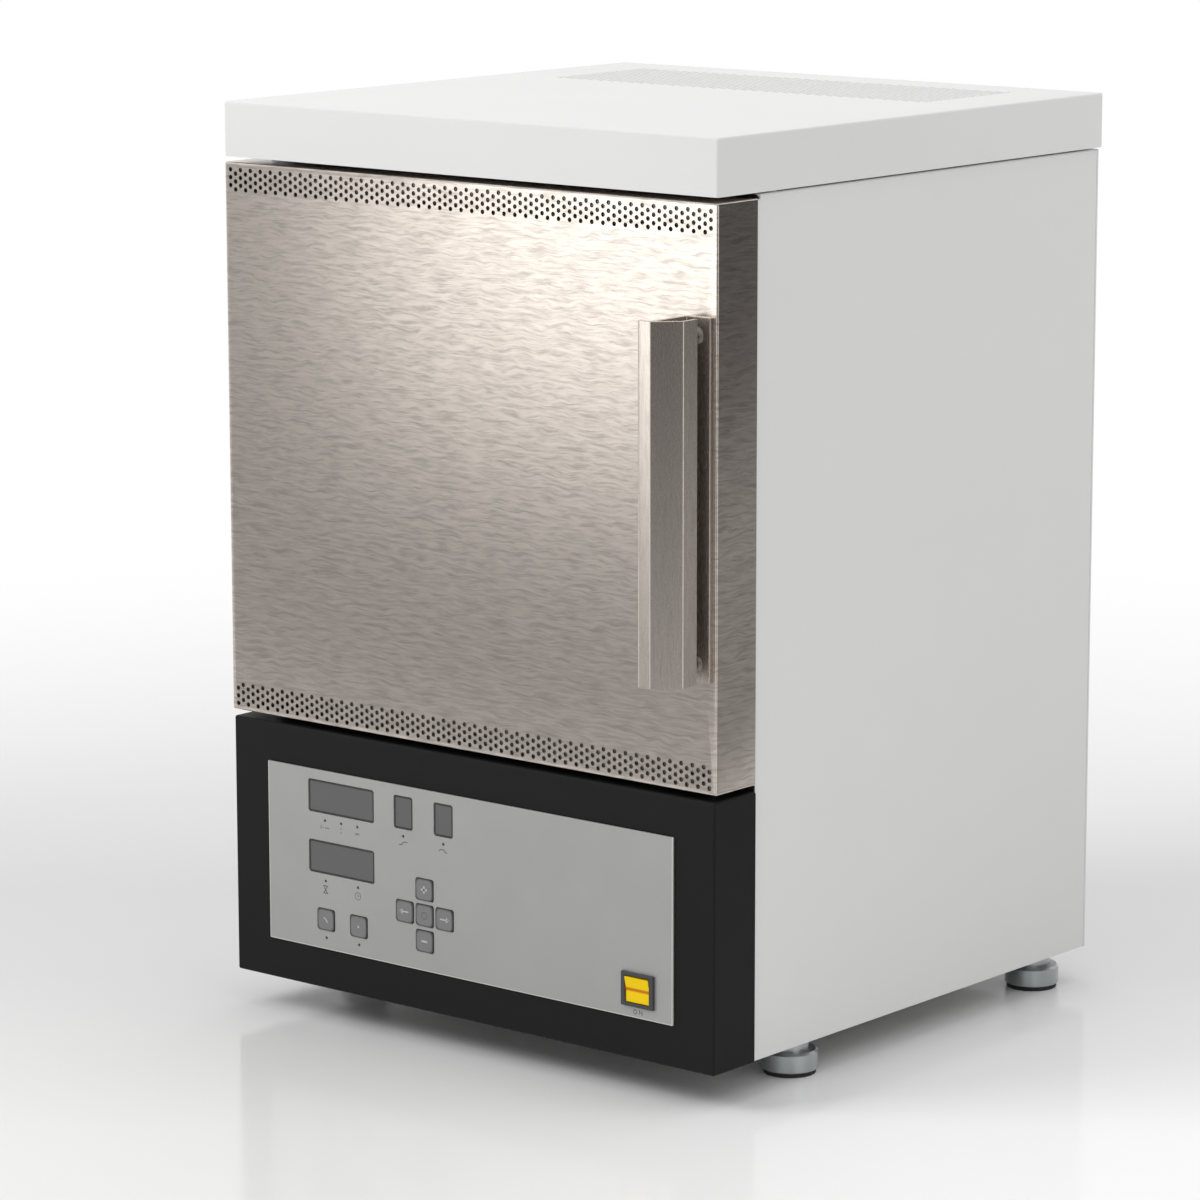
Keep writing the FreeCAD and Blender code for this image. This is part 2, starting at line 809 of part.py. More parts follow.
def break_front(body):
    """Chamfer the front rim and the four long corners of a folded tray."""
    names = edges_along(body.Shape, ALONG_Y, lambda spot: True)
    for line in (ALONG_X, ALONG_Z):
        names += edges_along(body.Shape, line, lambda spot: spot.y < PAST)
    dress_edges(body, "Chamfer", "edge_break", names)


def perforate(body):
    """Cut two strips of small holes, three staggered rows along the door's foot and its top."""
    columns = int((value("case_width") - 2 * value("hole_inset")) / value("hole_pitch")) + 1
    first = f"0 - {columns - 1} * hole_pitch / 2"
    rows = [[f"door_low + hole_low + {step} * hole_row_pitch",
             f"door_high - hole_top - {step} * hole_row_pitch"] for step in range(3)]
    for start, levels, count in ((first, rows[0] + rows[2], columns),
                                 (f"{first} + hole_pitch / 2", rows[1], columns - 1)):
        holes = [frame_of(mid(start, "hole_side"), mid(level, "hole_side")) for level in levels]
        seed = pocket(body, "Y", "0", "door_sheet", holes)
        repeat_along_x(body, seed, "hole_pitch", count)


def door_skin():
    """The steel shell of the door: a folded tray, open at its back."""
    body = new_body("DoorSkin")
    outline = (both("half"), ("door_low", "door_high"))
    pad(body, "Y", "0", "door_depth", [frame_of(*outline)])
    break_front(body)
    inner = (both("half - door_sheet"), ("door_low + door_sheet", "door_high - door_sheet"))
    pocket(body, "Y", "door_sheet", "door_depth", [frame_of(*inner)])
    pocket(body, "Y", "0", "door_sheet", handle_holes())
    perforate(body)
    return seat(body, "door_skin")


def door_inner_panel():
    body = new_body("DoorInnerPanel")
    edge = "(door_sheet + sheet_clearance)"
    outline = (both(f"half - {edge}"), (f"door_low + {edge}", f"door_high - {edge}"))
    pad(body, "Y", "inner_back", "door_depth", [frame_of(*outline)])
    gap = "plug_front_half + sheet_clearance"
    opening = (both(gap), mid("door_mid", f"2 * ({gap})"))
    pocket(body, "Y", "inner_back", "door_depth", [frame_of(*opening)])
    return seat(body, "door_inner_panel")


def door_insulation_tray():
    """The tray between skin and inner panel that holds the insulation."""
    body = new_body("InsulationTray")
    size = "2 * tray_half"
    outline = frame_of(both("tray_half"), mid("door_mid", size))
    pad(body, "Y", "tray_front", "inner_back", [outline])
    inner = frame_of(both("tray_half - door_sheet"), mid("door_mid", f"{size} - 2 * door_sheet"))
    pocket(body, "Y", "tray_front + door_sheet", "inner_back", [inner])
    return seat(body, "door_insulation_tray")


def door_insulation():
    """The fibre block: it fills the tray and reaches into the chamber as a tapered plug."""
    body = new_body("DoorInsulation")
    half = "tray_half - door_sheet - sheet_clearance"
    block = frame_of(both(half), mid("door_mid", f"2 * ({half})"))
    pad(body, "Y", "tray_front + door_sheet", "inner_back", [block])
    front = sketch_across(body, "Y", "inner_back")
    draw(front, frame_of(both("plug_front_half"), mid("door_mid", "2 * plug_front_half")))
    back = sketch_across(body, "Y", "plug_end")
    draw(back, frame_of(both("plug_back_half"), mid("door_mid", "2 * plug_back_half")))
    loft = body.newObject("PartDesign::AdditiveLoft", "PlugTaper")
    loft.Profile = front
    loft.Sections = [back]
    doc.recompute()
    return seat(body, "door_insulation")


def door_seal():
    """A flat rope seal round the plug, just clear of the front frame."""
    start = "plug_front_half + seal_margin"
    body = new_body("DoorSeal")
    outer = frame_of(both(f"{start} + seal_width"), mid("door_mid", f"2 * ({start} + seal_width)"))
    inner = frame_of(both(start), mid("door_mid", f"2 * ({start})"))
    pad(body, "Y", "door_depth", "frame_front - seal_clearance", [outer, inner])
    return seat(body, "door_seal")


def door_handle():
    """One drawn profile: a base on the door, a web, and a bevelled grip with a lip."""
    wall = "handle_wall"
    left = "handle_right - handle_base"
    grip = "handle_right - handle_step"
    front = "0 - handle_reach"
    strip = f"{grip} - handle_bevel"
    start = f"{strip} - handle_strip"
    section = [("handle_right", "0"), ("handle_right", f"0 - {wall}"),
               (f"{left} + {wall}", f"0 - {wall}"),
               (f"{left} + {wall}", f"{front} + {wall} + handle_toe"),
               (f"{grip} - {wall}", f"{front} + handle_bevel + {wall} * tan(22.5)"),
               (f"{grip} - {wall}", "0 - handle_slot"), (grip, "0 - handle_slot"),
               (grip, f"{front} + handle_bevel"), (strip, front), (start, front),
               (start, f"{front} + {wall}"), (left, f"{front} + {wall}"), (left, "0")]
    body = new_body("DoorHandle")
    pad(body, "Z", "handle_low", "handle_high", [section])
    pocket(body, "Y", f"0 - {wall}", "0", handle_holes())
    bevel_end = value(front) + value("handle_bevel") + PAST
    right = value(grip)
    names = edges_along(body.Shape, ALONG_Z,
                        lambda spot: spot.y < value(front) + 0.1 or
                        (spot.y < bevel_end and abs(spot.x - right) < 0.1))
    dress_edges(body, "Fillet", "edge_radius", names)
    return seat(body, "door_handle")


def handle_screws():
    """Two socket head cap screws through the handle's base and the door's skin, with nuts."""
    screws = []
    under = "0 - handle_wall"
    for place in mid("handle_middle", "handle_screw_span"):
        spot = ("handle_screw_x", place)
        head = sided_bar("HandleHead", 12, "Y", spot, "screw_head_radius",
                         f"{under} - screw_head", under)
        shank = sided_bar("HandleShank", 6, "Y", spot, "screw_radius", f"{under} - {PAST}",
                          "screw_tail")
        socket = sided_bar("HandleSocket", 6, "Y", spot, "screw_head_radius / 2",
                           f"{under} - screw_head - {PAST}", f"{under} - screw_head / 2")
        screws.append(cut("HandleScrew", fuse("HandleScrewBody", head, shank), socket))
        nut = sided_bar("HandleNut", 6, "Y", spot, "screw_nut_radius", "door_sheet",
                        "door_sheet + screw_nut")
        bore = sided_bar("HandleNutBore", 6, "Y", spot, "screw_radius", "0",
                         f"screw_tail + {PAST}")
        screws.append(cut("HandleNutCut", nut, bore))
    return seat(group("HandleScrews", *screws), "handle_screws")


# Hinges on the left edge

def hinge_levels():
    return mid("door_mid", "hinge_spread")


def case_leaf(level):
    """The leaf on the side panel, with the lower knuckle."""
    outer = "0 - side_out"
    plate = box("CaseLeaf", (f"{outer} - hinge_plate", outer),
                ("frame_back", "frame_back + hinge_leaf"), mid(level, "hinge_height"))
    low = f"{level} - hinge_height / 2"
    top = f"{level} - knuckle_gap / 2"
    strap = box("CaseStrap", ("hinge_x", outer),
                ("hinge_y + barrel_radius - hinge_plate", "hinge_y + barrel_radius"), (low, top))
    barrel = sided_bar("CaseBarrel", 16, "Z", ("hinge_x", "hinge_y"), "barrel_radius", low, top)
    bore = round_bar("CaseBore", "Z", ("hinge_x", "hinge_y"), "pin_radius", f"{low} + pin_end",
                     f"{top} + {PAST}")
    return cut("CaseKnuckle", fuse("CaseLeafBody", plate, strap, barrel), bore)


def door_leaf(level):
    """The leaf on the door's left side, with the upper knuckle."""
    outer = "0 - half"
    edge = "hinge_y - barrel_radius - leaf_gap"
    plate = box("DoorLeaf", (f"{outer} - hinge_plate", outer), (f"{edge} - door_leaf", edge),
                mid(level, "hinge_height"))
    low = f"{level} + knuckle_gap / 2"
    top = f"{level} + hinge_height / 2"
    strap = box("DoorStrap", ("hinge_x", outer),
                ("hinge_y - barrel_radius", "hinge_y - barrel_radius + hinge_plate"), (low, top))
    link = box("DoorLink", (f"{outer} - hinge_plate", outer),
               (f"{edge} - {PAST}", f"hinge_y - barrel_radius + {PAST}"), (low, top))
    barrel = sided_bar("DoorBarrel", 16, "Z", ("hinge_x", "hinge_y"), "barrel_radius", low, top)
    bore = round_bar("DoorBore", "Z", ("hinge_x", "hinge_y"), "pin_radius + pin_clearance",
                     f"{low} - {PAST}", f"{top} - pin_end")
    return cut("DoorKnuckle", fuse("DoorLeafBody", plate, strap, link, barrel), bore)


def hinge_pin(level):
    return round_bar("HingePin", "Z", ("hinge_x", "hinge_y"), "pin_radius",
                     f"{level} - hinge_height / 2 + pin_end",
                     f"{level} + hinge_height / 2 - 2 * pin_end")


def hinges():
    seat(group("CaseLeaves", *[case_leaf(level) for level in hinge_levels()]), "hinge_case_leaves")
    seat(group("DoorLeaves", *[door_leaf(level) for level in hinge_levels()]), "hinge_door_leaves")
    seat(group("HingePins", *[hinge_pin(level) for level in hinge_levels()]), "hinge_pins")


def catch_magnets():
    """Magnets in the front frame that hold the door's steel inner panel."""
    magnets = []
    back = "frame_back + magnet_depth"
    for place in mid("door_mid", "magnet_spread"):
        spot = ("magnet_place", place)
        slug = sided_bar("Magnet", 12, "Y", spot, "magnet_radius",
                         "door_depth + magnet_clearance", back)
        collar = sided_bar("MagnetCollar", 12, "Y", spot, "magnet_radius + magnet_collar",
                           "frame_back", back)
        magnets.append(fuse("MagnetSlug", slug, collar))
    return seat(group("CatchMagnets", *magnets), "catch_magnets")


# Chamber

def elements():
    """Centre of each heating element, as X and Y."""
    return [(x, y) for x in ("0 - element_place", "element_place")
            for y in ("element_first", "element_second")]


def holder_hole(name, spot, margin, low, top):
    across = mid(spot[0], f"holder_width + 2 * {margin}")
    deep = mid(spot[1], f"holder_length + 2 * {margin}")
    return box(name, across, deep, (low, top))


def thermo_port(name, low, top):
    """The tool for the thermocouple's way through the rear."""
    return sided_bar(name, 8, "Y", ("0", "door_mid"), "thermo_radius + thermo_clearance",
                     f"{low} - {PAST}", f"{top} + {PAST}")


def chamber_casing():
    shell = box("Casing", both("casing_half"), ("frame_back", "casing_back"),
                ("casing_low", "casing_high"))
    room = box("CasingRoom", both("casing_in"), (f"frame_back - {PAST}", "lining_back"),
               ("floor_low", "roof_high"))
    tops = [holder_hole("CasingTop", spot, "holder_clearance", f"roof_high - {PAST}",
                        f"casing_high + {PAST}") for spot in elements()]
    port = thermo_port("CasingPort", "lining_back", "casing_back")
    return seat(cut("ChamberCasing", shell, room, *tops, port), "chamber_casing")


def insulation():
    """Fibre board slabs round the chamber, laid face to face."""
    deep = ("chamber_start", "lining_back")
    wide = both("casing_in")
    tall = mid("door_mid", "2 * chamber_half")
    floor = box("FloorSlab", wide, deep, ("floor_low", "floor_high"))
    seat(group("Floor", floor), "floor_insulation")
    roof = box("RoofSlab", wide, deep, ("roof_low", "roof_high"))
    slots = [holder_hole("RoofSlot", spot, "holder_clearance", f"roof_low - {PAST}",
                         f"roof_high + {PAST}") for spot in elements()]
    seat(cut("Roof", roof, *slots), "roof_insulation")
    left = box("LeftSlab", ("0 - casing_in", "0 - chamber_half"), deep, tall)
    right = box("RightSlab", ("chamber_half", "casing_in"), deep, tall)
    seat(group("Sides", left, right), "side_insulation")
    rear = box("RearSlab", both("chamber_half"), ("chamber_end", "lining_back"), tall)
    port = thermo_port("RearPort", "chamber_end", "lining_back")
    seat(cut("Rear", rear, port), "rear_insulation")


def front_collar():
    body = new_body("FrontCollar")
    outer = frame_of(both("casing_in"), mid("door_mid", "2 * casing_in"))
    inner = frame_of(both("collar_half"), mid("door_mid", "2 * collar_half"))
    pad(body, "Y", "frame_back", "chamber_start", [outer, inner])
    return seat(body, "front_collar")


def hearth_plate():
    start = "chamber_start + hearth_start"
    plate = box("Hearth", both("hearth_half"), (start, f"{start} + hearth_depth"),
                ("floor_high", "floor_high + hearth_sheet"))
    return seat(group("HearthPlate", plate), "hearth_plate")


def casing_rails():
    """Two channels that carry the casing on the shelf."""
    rails = []
    for side in (-1, 1):
        centre = f"{side} * rail_place"
        deep = ("frame_back + rail_inset", "casing_back - rail_inset")
        outer = box("Rail", mid(centre, "rail_width"), deep, ("shelf_top", "casing_low"))
        inner = box("RailRoom", mid(centre, "rail_width - 2 * rail_wall"),
                    ("frame_back", "casing_back"),
                    ("shelf_top + rail_wall", "casing_low - rail_wall"))
        rails.append(cut("RailTube", outer, inner))
    return seat(group("CasingRails", *rails), "casing_rails")


def leg_spots(spot):
    """Where the two legs of a heating element stand."""
    x, y = spot
    return [(x, place) for place in mid(y, "leg_spacing")]


def heating_element(spot):
    """A bent rod with two thin legs, under two thick terminals."""
    x, y = spot
    bend = "roof_low - element_drop + leg_spacing / 2"
    start = f"roof_low - terminal_foot + {PAST}"
    body = new_body("BentRod")
    section = sketch_across(body, "Z", start)
    draw(section, sided(*leg_spots(spot)[0], "leg_radius"))
    route = [(f"{y} - leg_spacing / 2", start)]
    for turn in range(180, 361, 30):
        route.append((f"{y} + leg_spacing / 2 * cos({turn})",
                      f"{bend} + leg_spacing / 2 * sin({turn})"))
    route.append((f"{y} + leg_spacing / 2", start))
    spine = sketch_across(body, "X", x)
    draw(spine, route, closed=False)
    pipe = body.newObject("PartDesign::AdditivePipe", "BentPipe")
    pipe.Profile = section
    pipe.Spine = spine
    pipe.Transition = "Right corner"
    doc.recompute()
    terminals = [sided_bar("Terminal", 8, "Z", leg, "terminal_radius", "roof_low - terminal_foot",
                           "casing_high + terminal_top") for leg in leg_spots(spot)]
    return fuse("Element", body, *terminals)


def heating_elements():
    rods = [heating_element(spot) for spot in elements()]
    return seat(group("HeatingElements", *rods), "heating_elements")


def element_holders():
    """Ceramic blocks that fill the roof's slots and let the terminals through."""
    holders = []
    top = "casing_high + holder_head"
    for spot in elements():
        block = holder_hole("Holder", spot, "0", "roof_low", "casing_high")
        head = holder_hole("HolderHead", spot, "holder_lip", "casing_high", top)
        bores = [sided_bar("HolderBore", 8, "Z", leg, "terminal_radius + holder_clearance",
                           f"roof_low - {PAST}", f"{top} + {PAST}") for leg in leg_spots(spot)]
        holders.append(cut("HolderCut", fuse("HolderBody", block, head), *bores))
    return seat(group("ElementHolders", *holders), "element_holders")


def strap(name, first, second):
    """A flat conductor with an eye for each of two terminals."""
    low = "casing_high + strap_level"
    top = f"{low} + strap_sheet"
    end = "strap_width / 2"
    bar = box(name + "Bar", (f"{first[0]} - {end}", f"{second[0]} + {end}"),
              (f"{first[1]} - {end}", f"{second[1]} + {end}"), (low, top))
    bores = [sided_bar(name + "Bore", 8, "Z", spot, "terminal_radius", f"{low} - {PAST}",
                       f"{top} + {PAST}") for spot in (first, second)]
    return cut(name, bar, *bores)


def terminal_straps():
    """Conductors that join the four elements in series."""
    inner = ("element_first + leg_spacing / 2", "element_second - leg_spacing / 2")
    last = "element_second + leg_spacing / 2"
    straps = [strap("SideStrap", (x, inner[0]), (x, inner[1]))
              for x in ("0 - element_place", "element_place")]
    straps.append(strap("BackStrap", ("0 - element_place", last), ("element_place", last)))
    return seat(group("TerminalStraps", *straps), "terminal_straps")


def thermocouple():
    """A ceramic sheath through the rear wall with its connection head."""
    spot = ("0", "door_mid")
    sheath = sided_bar("Sheath", 8, "Y", spot, "thermo_radius", "chamber_end - thermo_reach",
                       "casing_back")
    head = sided_bar("SheathHead", 12, "Y", spot, "thermo_head_radius", "casing_back",
                     "casing_back + thermo_head")
    return seat(fuse("Thermocouple", sheath, head), "thermocouple")


# Console

def screens():
    """Centre X, centre Z and width of each display."""
    return [("wide_screen_x", "upper_screen_z", "wide_screen"),
            ("wide_screen_x", "lower_screen_z", "wide_screen"),
            ("narrow_screen_x", "upper_screen_z", "narrow_screen"),
            ("screen_two_x", "upper_screen_z", "narrow_screen")]


def keys():
    """Node name and centre of each key."""
    return {"key_one": ("key_column_one", "key_row_low"),
            "key_two": ("key_column_two", "key_row_low"),
            "key_up": ("cross_x", "cross_z + key_pitch"),
            "key_left": ("cross_x - key_pitch", "cross_z"),
            "key_enter": ("cross_x", "cross_z"),
            "key_right": ("cross_x + key_pitch", "cross_z"),
            "key_down": ("cross_x", "cross_z - key_pitch")}


def lenses():
    """Centre of each indicator dot."""
    upper = "upper_screen_z - lens_drop"
    lower = "lower_screen_z - lens_drop"
    spots = [(f"wide_screen_x + {step} * lens_step", upper) for step in (-1, 0, 1)]
    spots += [(place, upper) for place in ("narrow_screen_x", "screen_two_x")]
    spots += [(f"wide_screen_x + {step} * lens_step", lower) for step in (-1, 1)]
    spots += [(place, "key_row_low - key_lens_drop")
              for place in ("key_column_one", "key_column_two")]
    return spots


def console_housing():
    """The dark housing under the door: a deep tray, open at its back."""
    body = new_body("ConsoleHousing")
    half = "half - console_inset"
    pad(body, "Y", "0", "frame_front", [frame_of(both(half), ("0", "console_height"))])
    break_front(body)
    inner = (both(f"{half} - console_wall"), ("console_wall", "console_height - console_wall"))
    pocket(body, "Y", "console_wall", "frame_front", [frame_of(*inner)])
    opening = (both("panel_half - window_margin"),
               ("panel_low + window_margin", "panel_high - window_margin"))
    pocket(body, "Y", "0", "console_wall", [frame_of(*opening)])
    return seat(body, "console_housing")


def control_panel():
    """The front plate with a cut-out for each display, key, dot and switch."""
    body = new_body("ControlPanel")
    outline = frame_of(both("panel_half"), ("panel_low", "panel_high"))
    pad(body, "Y", "0 - panel_sheet", "0", [outline])
    windows = [clipped(mid(x, width), mid(z, "screen_height"), "screen_corner")
               for x, z, width in screens()]
    caps = [clipped(mid(x, "key_size"), mid(z, "key_height"), "screen_corner")
            for x, z in keys().values()]
    switch = frame_of(mid("switch_x", "bezel_width - 2 * bezel_lip"),
                      mid("switch_z", "bezel_height - 2 * bezel_lip"))
    dots = [sided(x, z, "lens_radius + lens_clearance") for x, z in lenses()]
    for openings in (windows, caps, dots + [switch]):
        pocket(body, "Y", "0 - panel_sheet", "0", openings)
    return seat(body, "control_panel")


def display_window(x, z, width):
    """A filter pane in its cut-out, with a flange behind the panel."""
    body = new_body("Screen")
    room = "2 * screen_clearance"
    face = clipped(mid(x, f"{width} - {room}"), mid(z, f"screen_height - {room}"),
                   "screen_corner")
    pad(body, "Y", "screen_sink - panel_sheet", "0", [face])
    size = "2 * screen_flange"
    flange = frame_of(mid(x, f"{width} + {size}"), mid(z, f"screen_height + {size}"))
    pad(body, "Y", "0", "screen_flange", [flange])
    return body


def display_windows():
    panes = [display_window(*window) for window in screens()]
    return seat(group("Screens", *panes), "display_windows")


def display_modules():
    """The lit display blocks between the board and the panes."""
    margin = "2 * module_margin"
    blocks = [box("Module", mid(x, f"{width} - {margin}"), ("screen_flange", "board_level"),
                  mid(z, f"screen_height - {margin}")) for x, z, width in screens()]
    return seat(group("DisplayModules", *blocks), "display_modules")


def indicator_lenses():
    pins = [sided_bar("Lens", 6, "Y", spot, "lens_radius", "lens_sink - panel_sheet",
                      "board_level") for spot in lenses()]
    return seat(group("IndicatorLenses", *pins), "indicator_lenses")


def key(node, spot):
    """A key cap with a flange behind the panel and a short stem."""
    x, z = spot
    room = "2 * key_clearance"
    body = new_body(node)
    cap = clipped(mid(x, f"key_size - {room}"), mid(z, f"key_height - {room}"), "screen_corner")
    pad(body, "Y", "0 - panel_sheet - key_proud", "0", [cap])
    flange = frame_of(mid(x, "key_pitch - key_clearance"), mid(z, "key_pitch - key_clearance"))
    pad(body, "Y", "0", "key_flange", [flange])
    pad(body, "Y", "key_flange", "key_flange + key_stem_length", [sided(x, z, "key_stem")])
    return seat(body, node)


def key_switches():
    front = "key_flange + key_stem_length + key_travel_room"
    blocks = [box("KeySwitch", mid(x, "key_switch"), (front, "board_level"),
                  mid(z, "key_switch")) for x, z in keys().values()]
    return seat(group("KeySwitches", *blocks), "key_switches")


def board_spots():
    inset = "(spacer_post + post_margin)"
    across = (f"board_left + {inset}", f"board_right - {inset}")
    high = (f"board_low + {inset}", f"board_high - {inset}")
    return [(x, z) for x in across for z in high]


def control_board():
    board = box("Board", ("board_left", "board_right"), ("board_level", "board_back"),
                ("board_low", "board_high"))
    chips = [box("Chip", mid(f"board_left + chip_inset + {step} * chip_pitch", "chip_size"),
                 ("board_back", "board_back + chip_height"), mid("board_low + chip_inset", "chip_size"))
             for step in (0, 1)]
    relay = box("Relay", mid("board_left + chip_inset", "relay_length"),
                ("board_back", "board_back + relay_height"),
                mid("board_high - chip_inset", "relay_width"))
    return seat(fuse("ControlBoard", board, relay, *chips), "control_board")


def board_spacers():
    posts = [sided_bar("Post", 6, "Y", spot, "spacer_post", "0", "board_level")
             for spot in board_spots()]
    return seat(group("BoardSpacers", *posts), "board_spacers")


# Power switch

def switch_bezel():
    """The switch body with its rim and the well that the rocker tips in."""
    front = "0 - panel_sheet - bezel_proud"
    rim = box("Rim", mid("switch_x", "bezel_width"), (front, "0 - panel_sheet"),
              mid("switch_z", "bezel_height"))
    shrink = "2 * (bezel_lip + sheet_clearance)"
    trunk = box("SwitchTrunk", mid("switch_x", f"bezel_width - {shrink}"),
                ("0 - panel_sheet", "switch_reach"), mid("switch_z", f"bezel_height - {shrink}"))
    well = box("Well", mid("switch_x", "2 * (rocker_half_width + rocker_clearance / 2)"),
               (f"{front} - {PAST}", "rocker_half"),
               mid("switch_z", "2 * (rocker_half + rocker_clearance)"))
    reach = "2 * (rocker_half_width + rocker_pin_length + sheet_clearance)"
    corner = "(rocker_pin + pin_clearance) / cos(22.5)"
    pin = sided_bar("PinHole", 8, "X", (f"{front} + rocker_pivot", "switch_z"), corner,
                    *mid("switch_x", reach))
    return seat(cut("SwitchBezel", fuse("SwitchBody", rim, trunk), well, pin), "switch_bezel")


def power_rocker():
    """The rocker, drawn about its pivot and tipped so that its upper half stands out."""
    body = new_body("PowerRocker")
    edge = "0 - rocker_crown - rocker_half * tan(rocker_tilt)"
    section = [("0 - rocker_crown", "0"), (edge, "rocker_half"),
               ("rocker_pivot", "rocker_skirt"), ("rocker_belly", "rocker_flat"),
               ("rocker_belly", "0 - rocker_flat"), ("rocker_pivot", "0 - rocker_skirt"),
               (edge, "0 - rocker_half")]
    pad(body, "X", "0 - rocker_half_width", "rocker_half_width", [section])
    end = "rocker_half_width + rocker_pin_length"
    for low, top in (("rocker_half_width", end), (f"0 - ({end})", "0 - rocker_half_width")):
        pad(body, "X", low, top, [], [("0", "0", "rocker_pin")])
    body.Placement = FreeCAD.Placement(FreeCAD.Vector(), FreeCAD.Rotation(ALONG_X, 1))
    bind(body, "Placement.Rotation.Angle", "rocker_tilt")
    pivot = "0 - panel_sheet - bezel_proud + rocker_pivot"
    return seat(body, "power_rocker", ("switch_x", pivot, "switch_z"))


# Fan, inlet and power parts

def fan_frame():
    front = "rear_in - fan_depth"
    spot = ("fan_x", "fan_z")
    block = box("FanBlock", mid("fan_x", "fan_size"), (front, "rear_in"), mid("fan_z", "fan_size"))
    duct = sided_bar("FanDuct", 24, "Y", spot, "fan_bore", f"{front} - {PAST}", f"rear_in + {PAST}")
    shell = cut("FanShell", block, duct)
    deep = ("rear_in - fan_motor", "rear_in")
    hub = sided_bar("FanMotor", 14, "Y", spot, "fan_hub", *deep)
    across = f"2 * (fan_bore + {PAST})"
    arms = [box("FanArm", mid("fan_x", across), deep, mid("fan_z", "fan_arm")),
            box("FanArm", mid("fan_x", "fan_arm"), deep, mid("fan_z", across))]
    spindle = round_bar("FanSpindle", "Y", spot, "fan_spindle", f"{front} + spindle_front", "rear_in")
    return seat(fuse("FanFrame", shell, hub, spindle, *arms), "fan_frame")


def fan_rotor():
    """A hub with twisted blades, drawn about the fan's axis."""
    count = int(value("fan_blades"))
    spot = ("0", "0")
    hub = sided_bar("RotorHub", 2 * count, "Y", spot, "fan_hub", "0", "rotor_length")
    bore = round_bar("RotorBore", "Y", spot, "fan_spindle + pin_clearance", "rotor_cap",
                     f"rotor_length + {PAST}")
    blades = []
    root = value("fan_hub") - 2 * PAST
    sunk = FreeCAD.Vector(0, -value("blade_chord") / 2, -value("blade_sheet") / 2)
    centred = FreeCAD.Placement(sunk, FreeCAD.Rotation())
    tilt = FreeCAD.Rotation(ALONG_X, value("blade_pitch"))
    leaned = FreeCAD.Placement(FreeCAD.Vector(root, value("rotor_length") / 2, 0), tilt)
    for number in range(count):
        blade = doc.addObject("Part::Box", "Blade")
        bind(blade, "Length", f"fan_bore - fan_tip_clearance - fan_hub + 2 * {PAST}")
        bind(blade, "Width", "blade_chord")
        bind(blade, "Height", "blade_sheet")
        turn = FreeCAD.Rotation(ALONG_Y, 360 / count * number)
        spun = FreeCAD.Placement(FreeCAD.Vector(), turn)
        blade.Placement = spun.multiply(leaned).multiply(centred)
        blades.append(blade)
    rotor = fuse("FanRotor", cut("RotorCup", hub, bore), *blades)
    return seat(rotor, "fan_rotor", ("fan_x", "rear_in - fan_depth + rotor_front", "fan_z"))


def fan_guard():
    """Two hoops and a cross on the rear panel."""
    top = "case_depth + guard_wire"
    deep = ("case_depth", top)
    hoops = []
    for step in range(2):
        radius = f"fan_bore + guard_overlap - {step} * guard_pitch"
        outer = sided_bar("GuardRing", 12, "Y", ("fan_x", "fan_z"), radius, *deep)
        inner = sided_bar("GuardRoom", 12, "Y", ("fan_x", "fan_z"), f"{radius} - guard_wire",
                          f"case_depth - {PAST}", f"{top} + {PAST}")
        hoops.append(cut("GuardHoop", outer, inner))
    arms = [box("GuardArm", mid("fan_x", "2 * fan_bore"), deep, mid("fan_z", "guard_wire")),
            box("GuardArm", mid("fan_x", "guard_wire"), deep, mid("fan_z", "2 * fan_bore"))]
    return seat(fuse("FanGuard", *hoops, *arms), "fan_guard")


def mains_inlet():
    """An appliance inlet with three flat pins in a well."""
    flange = box("InletFlange", mid("inlet_x", "inlet_width"), ("case_depth", "outer_back"),
                 mid("inlet_z", "inlet_height"))
    trunk = box("InletTrunk", mid("inlet_x", "trunk_width"), ("rear_in - inlet_reach", "case_depth"),
                mid("inlet_z", "trunk_height"))
    floor = "case_depth - inlet_well"
    well = box("InletWell", mid("inlet_x", "trunk_width - 2 * inlet_wall"),
               (floor, f"outer_back + {PAST}"), mid("inlet_z", "trunk_height - 2 * inlet_wall"))
    pins = []
    for step, lift in ((-1, -1), (1, -1), (0, 1)):
        across = mid(f"inlet_x + {step} * inlet_pin_spread", "inlet_pin_width")
        high = mid(f"inlet_z + {lift} * inlet_pin_lift", "inlet_pin_height")
        pins.append(box("InletPin", across, (f"{floor} - {PAST}", f"{floor} + inlet_pin_length"), high))
    socket = cut("InletSocket", fuse("InletBody", flange, trunk), well)
    return seat(fuse("MainsInlet", socket, *pins), "mains_inlet")


def transformer():
    """A wound ring on the base plate, its outer edges broken by the winding."""
    body = new_body("Transformer")
    centre = FreeCAD.Vector(value("toroid_x"), value("toroid_y"), 0)
    rings = [sided("toroid_x", "toroid_y", "toroid_radius", 24),
             sided("toroid_x", "toroid_y", "toroid_bore", 16)]
    pad(body, "Z", "base_sheet", "toroid_top", rings)
    bore = value("toroid_bore") + PAST
    names = []
    for number, edge in enumerate(body.Shape.Edges, 1):
        spot = edge.CenterOfMass
        level = abs(edge.tangentAt(edge.FirstParameter).z) < 0.1
        if level and spot.distanceToPoint(centre + ALONG_Z * spot.z) > bore:
            names.append(f"Edge{number}")
    dress_edges(body, "Chamfer", "toroid_break", names)
    return seat(body, "transformer")


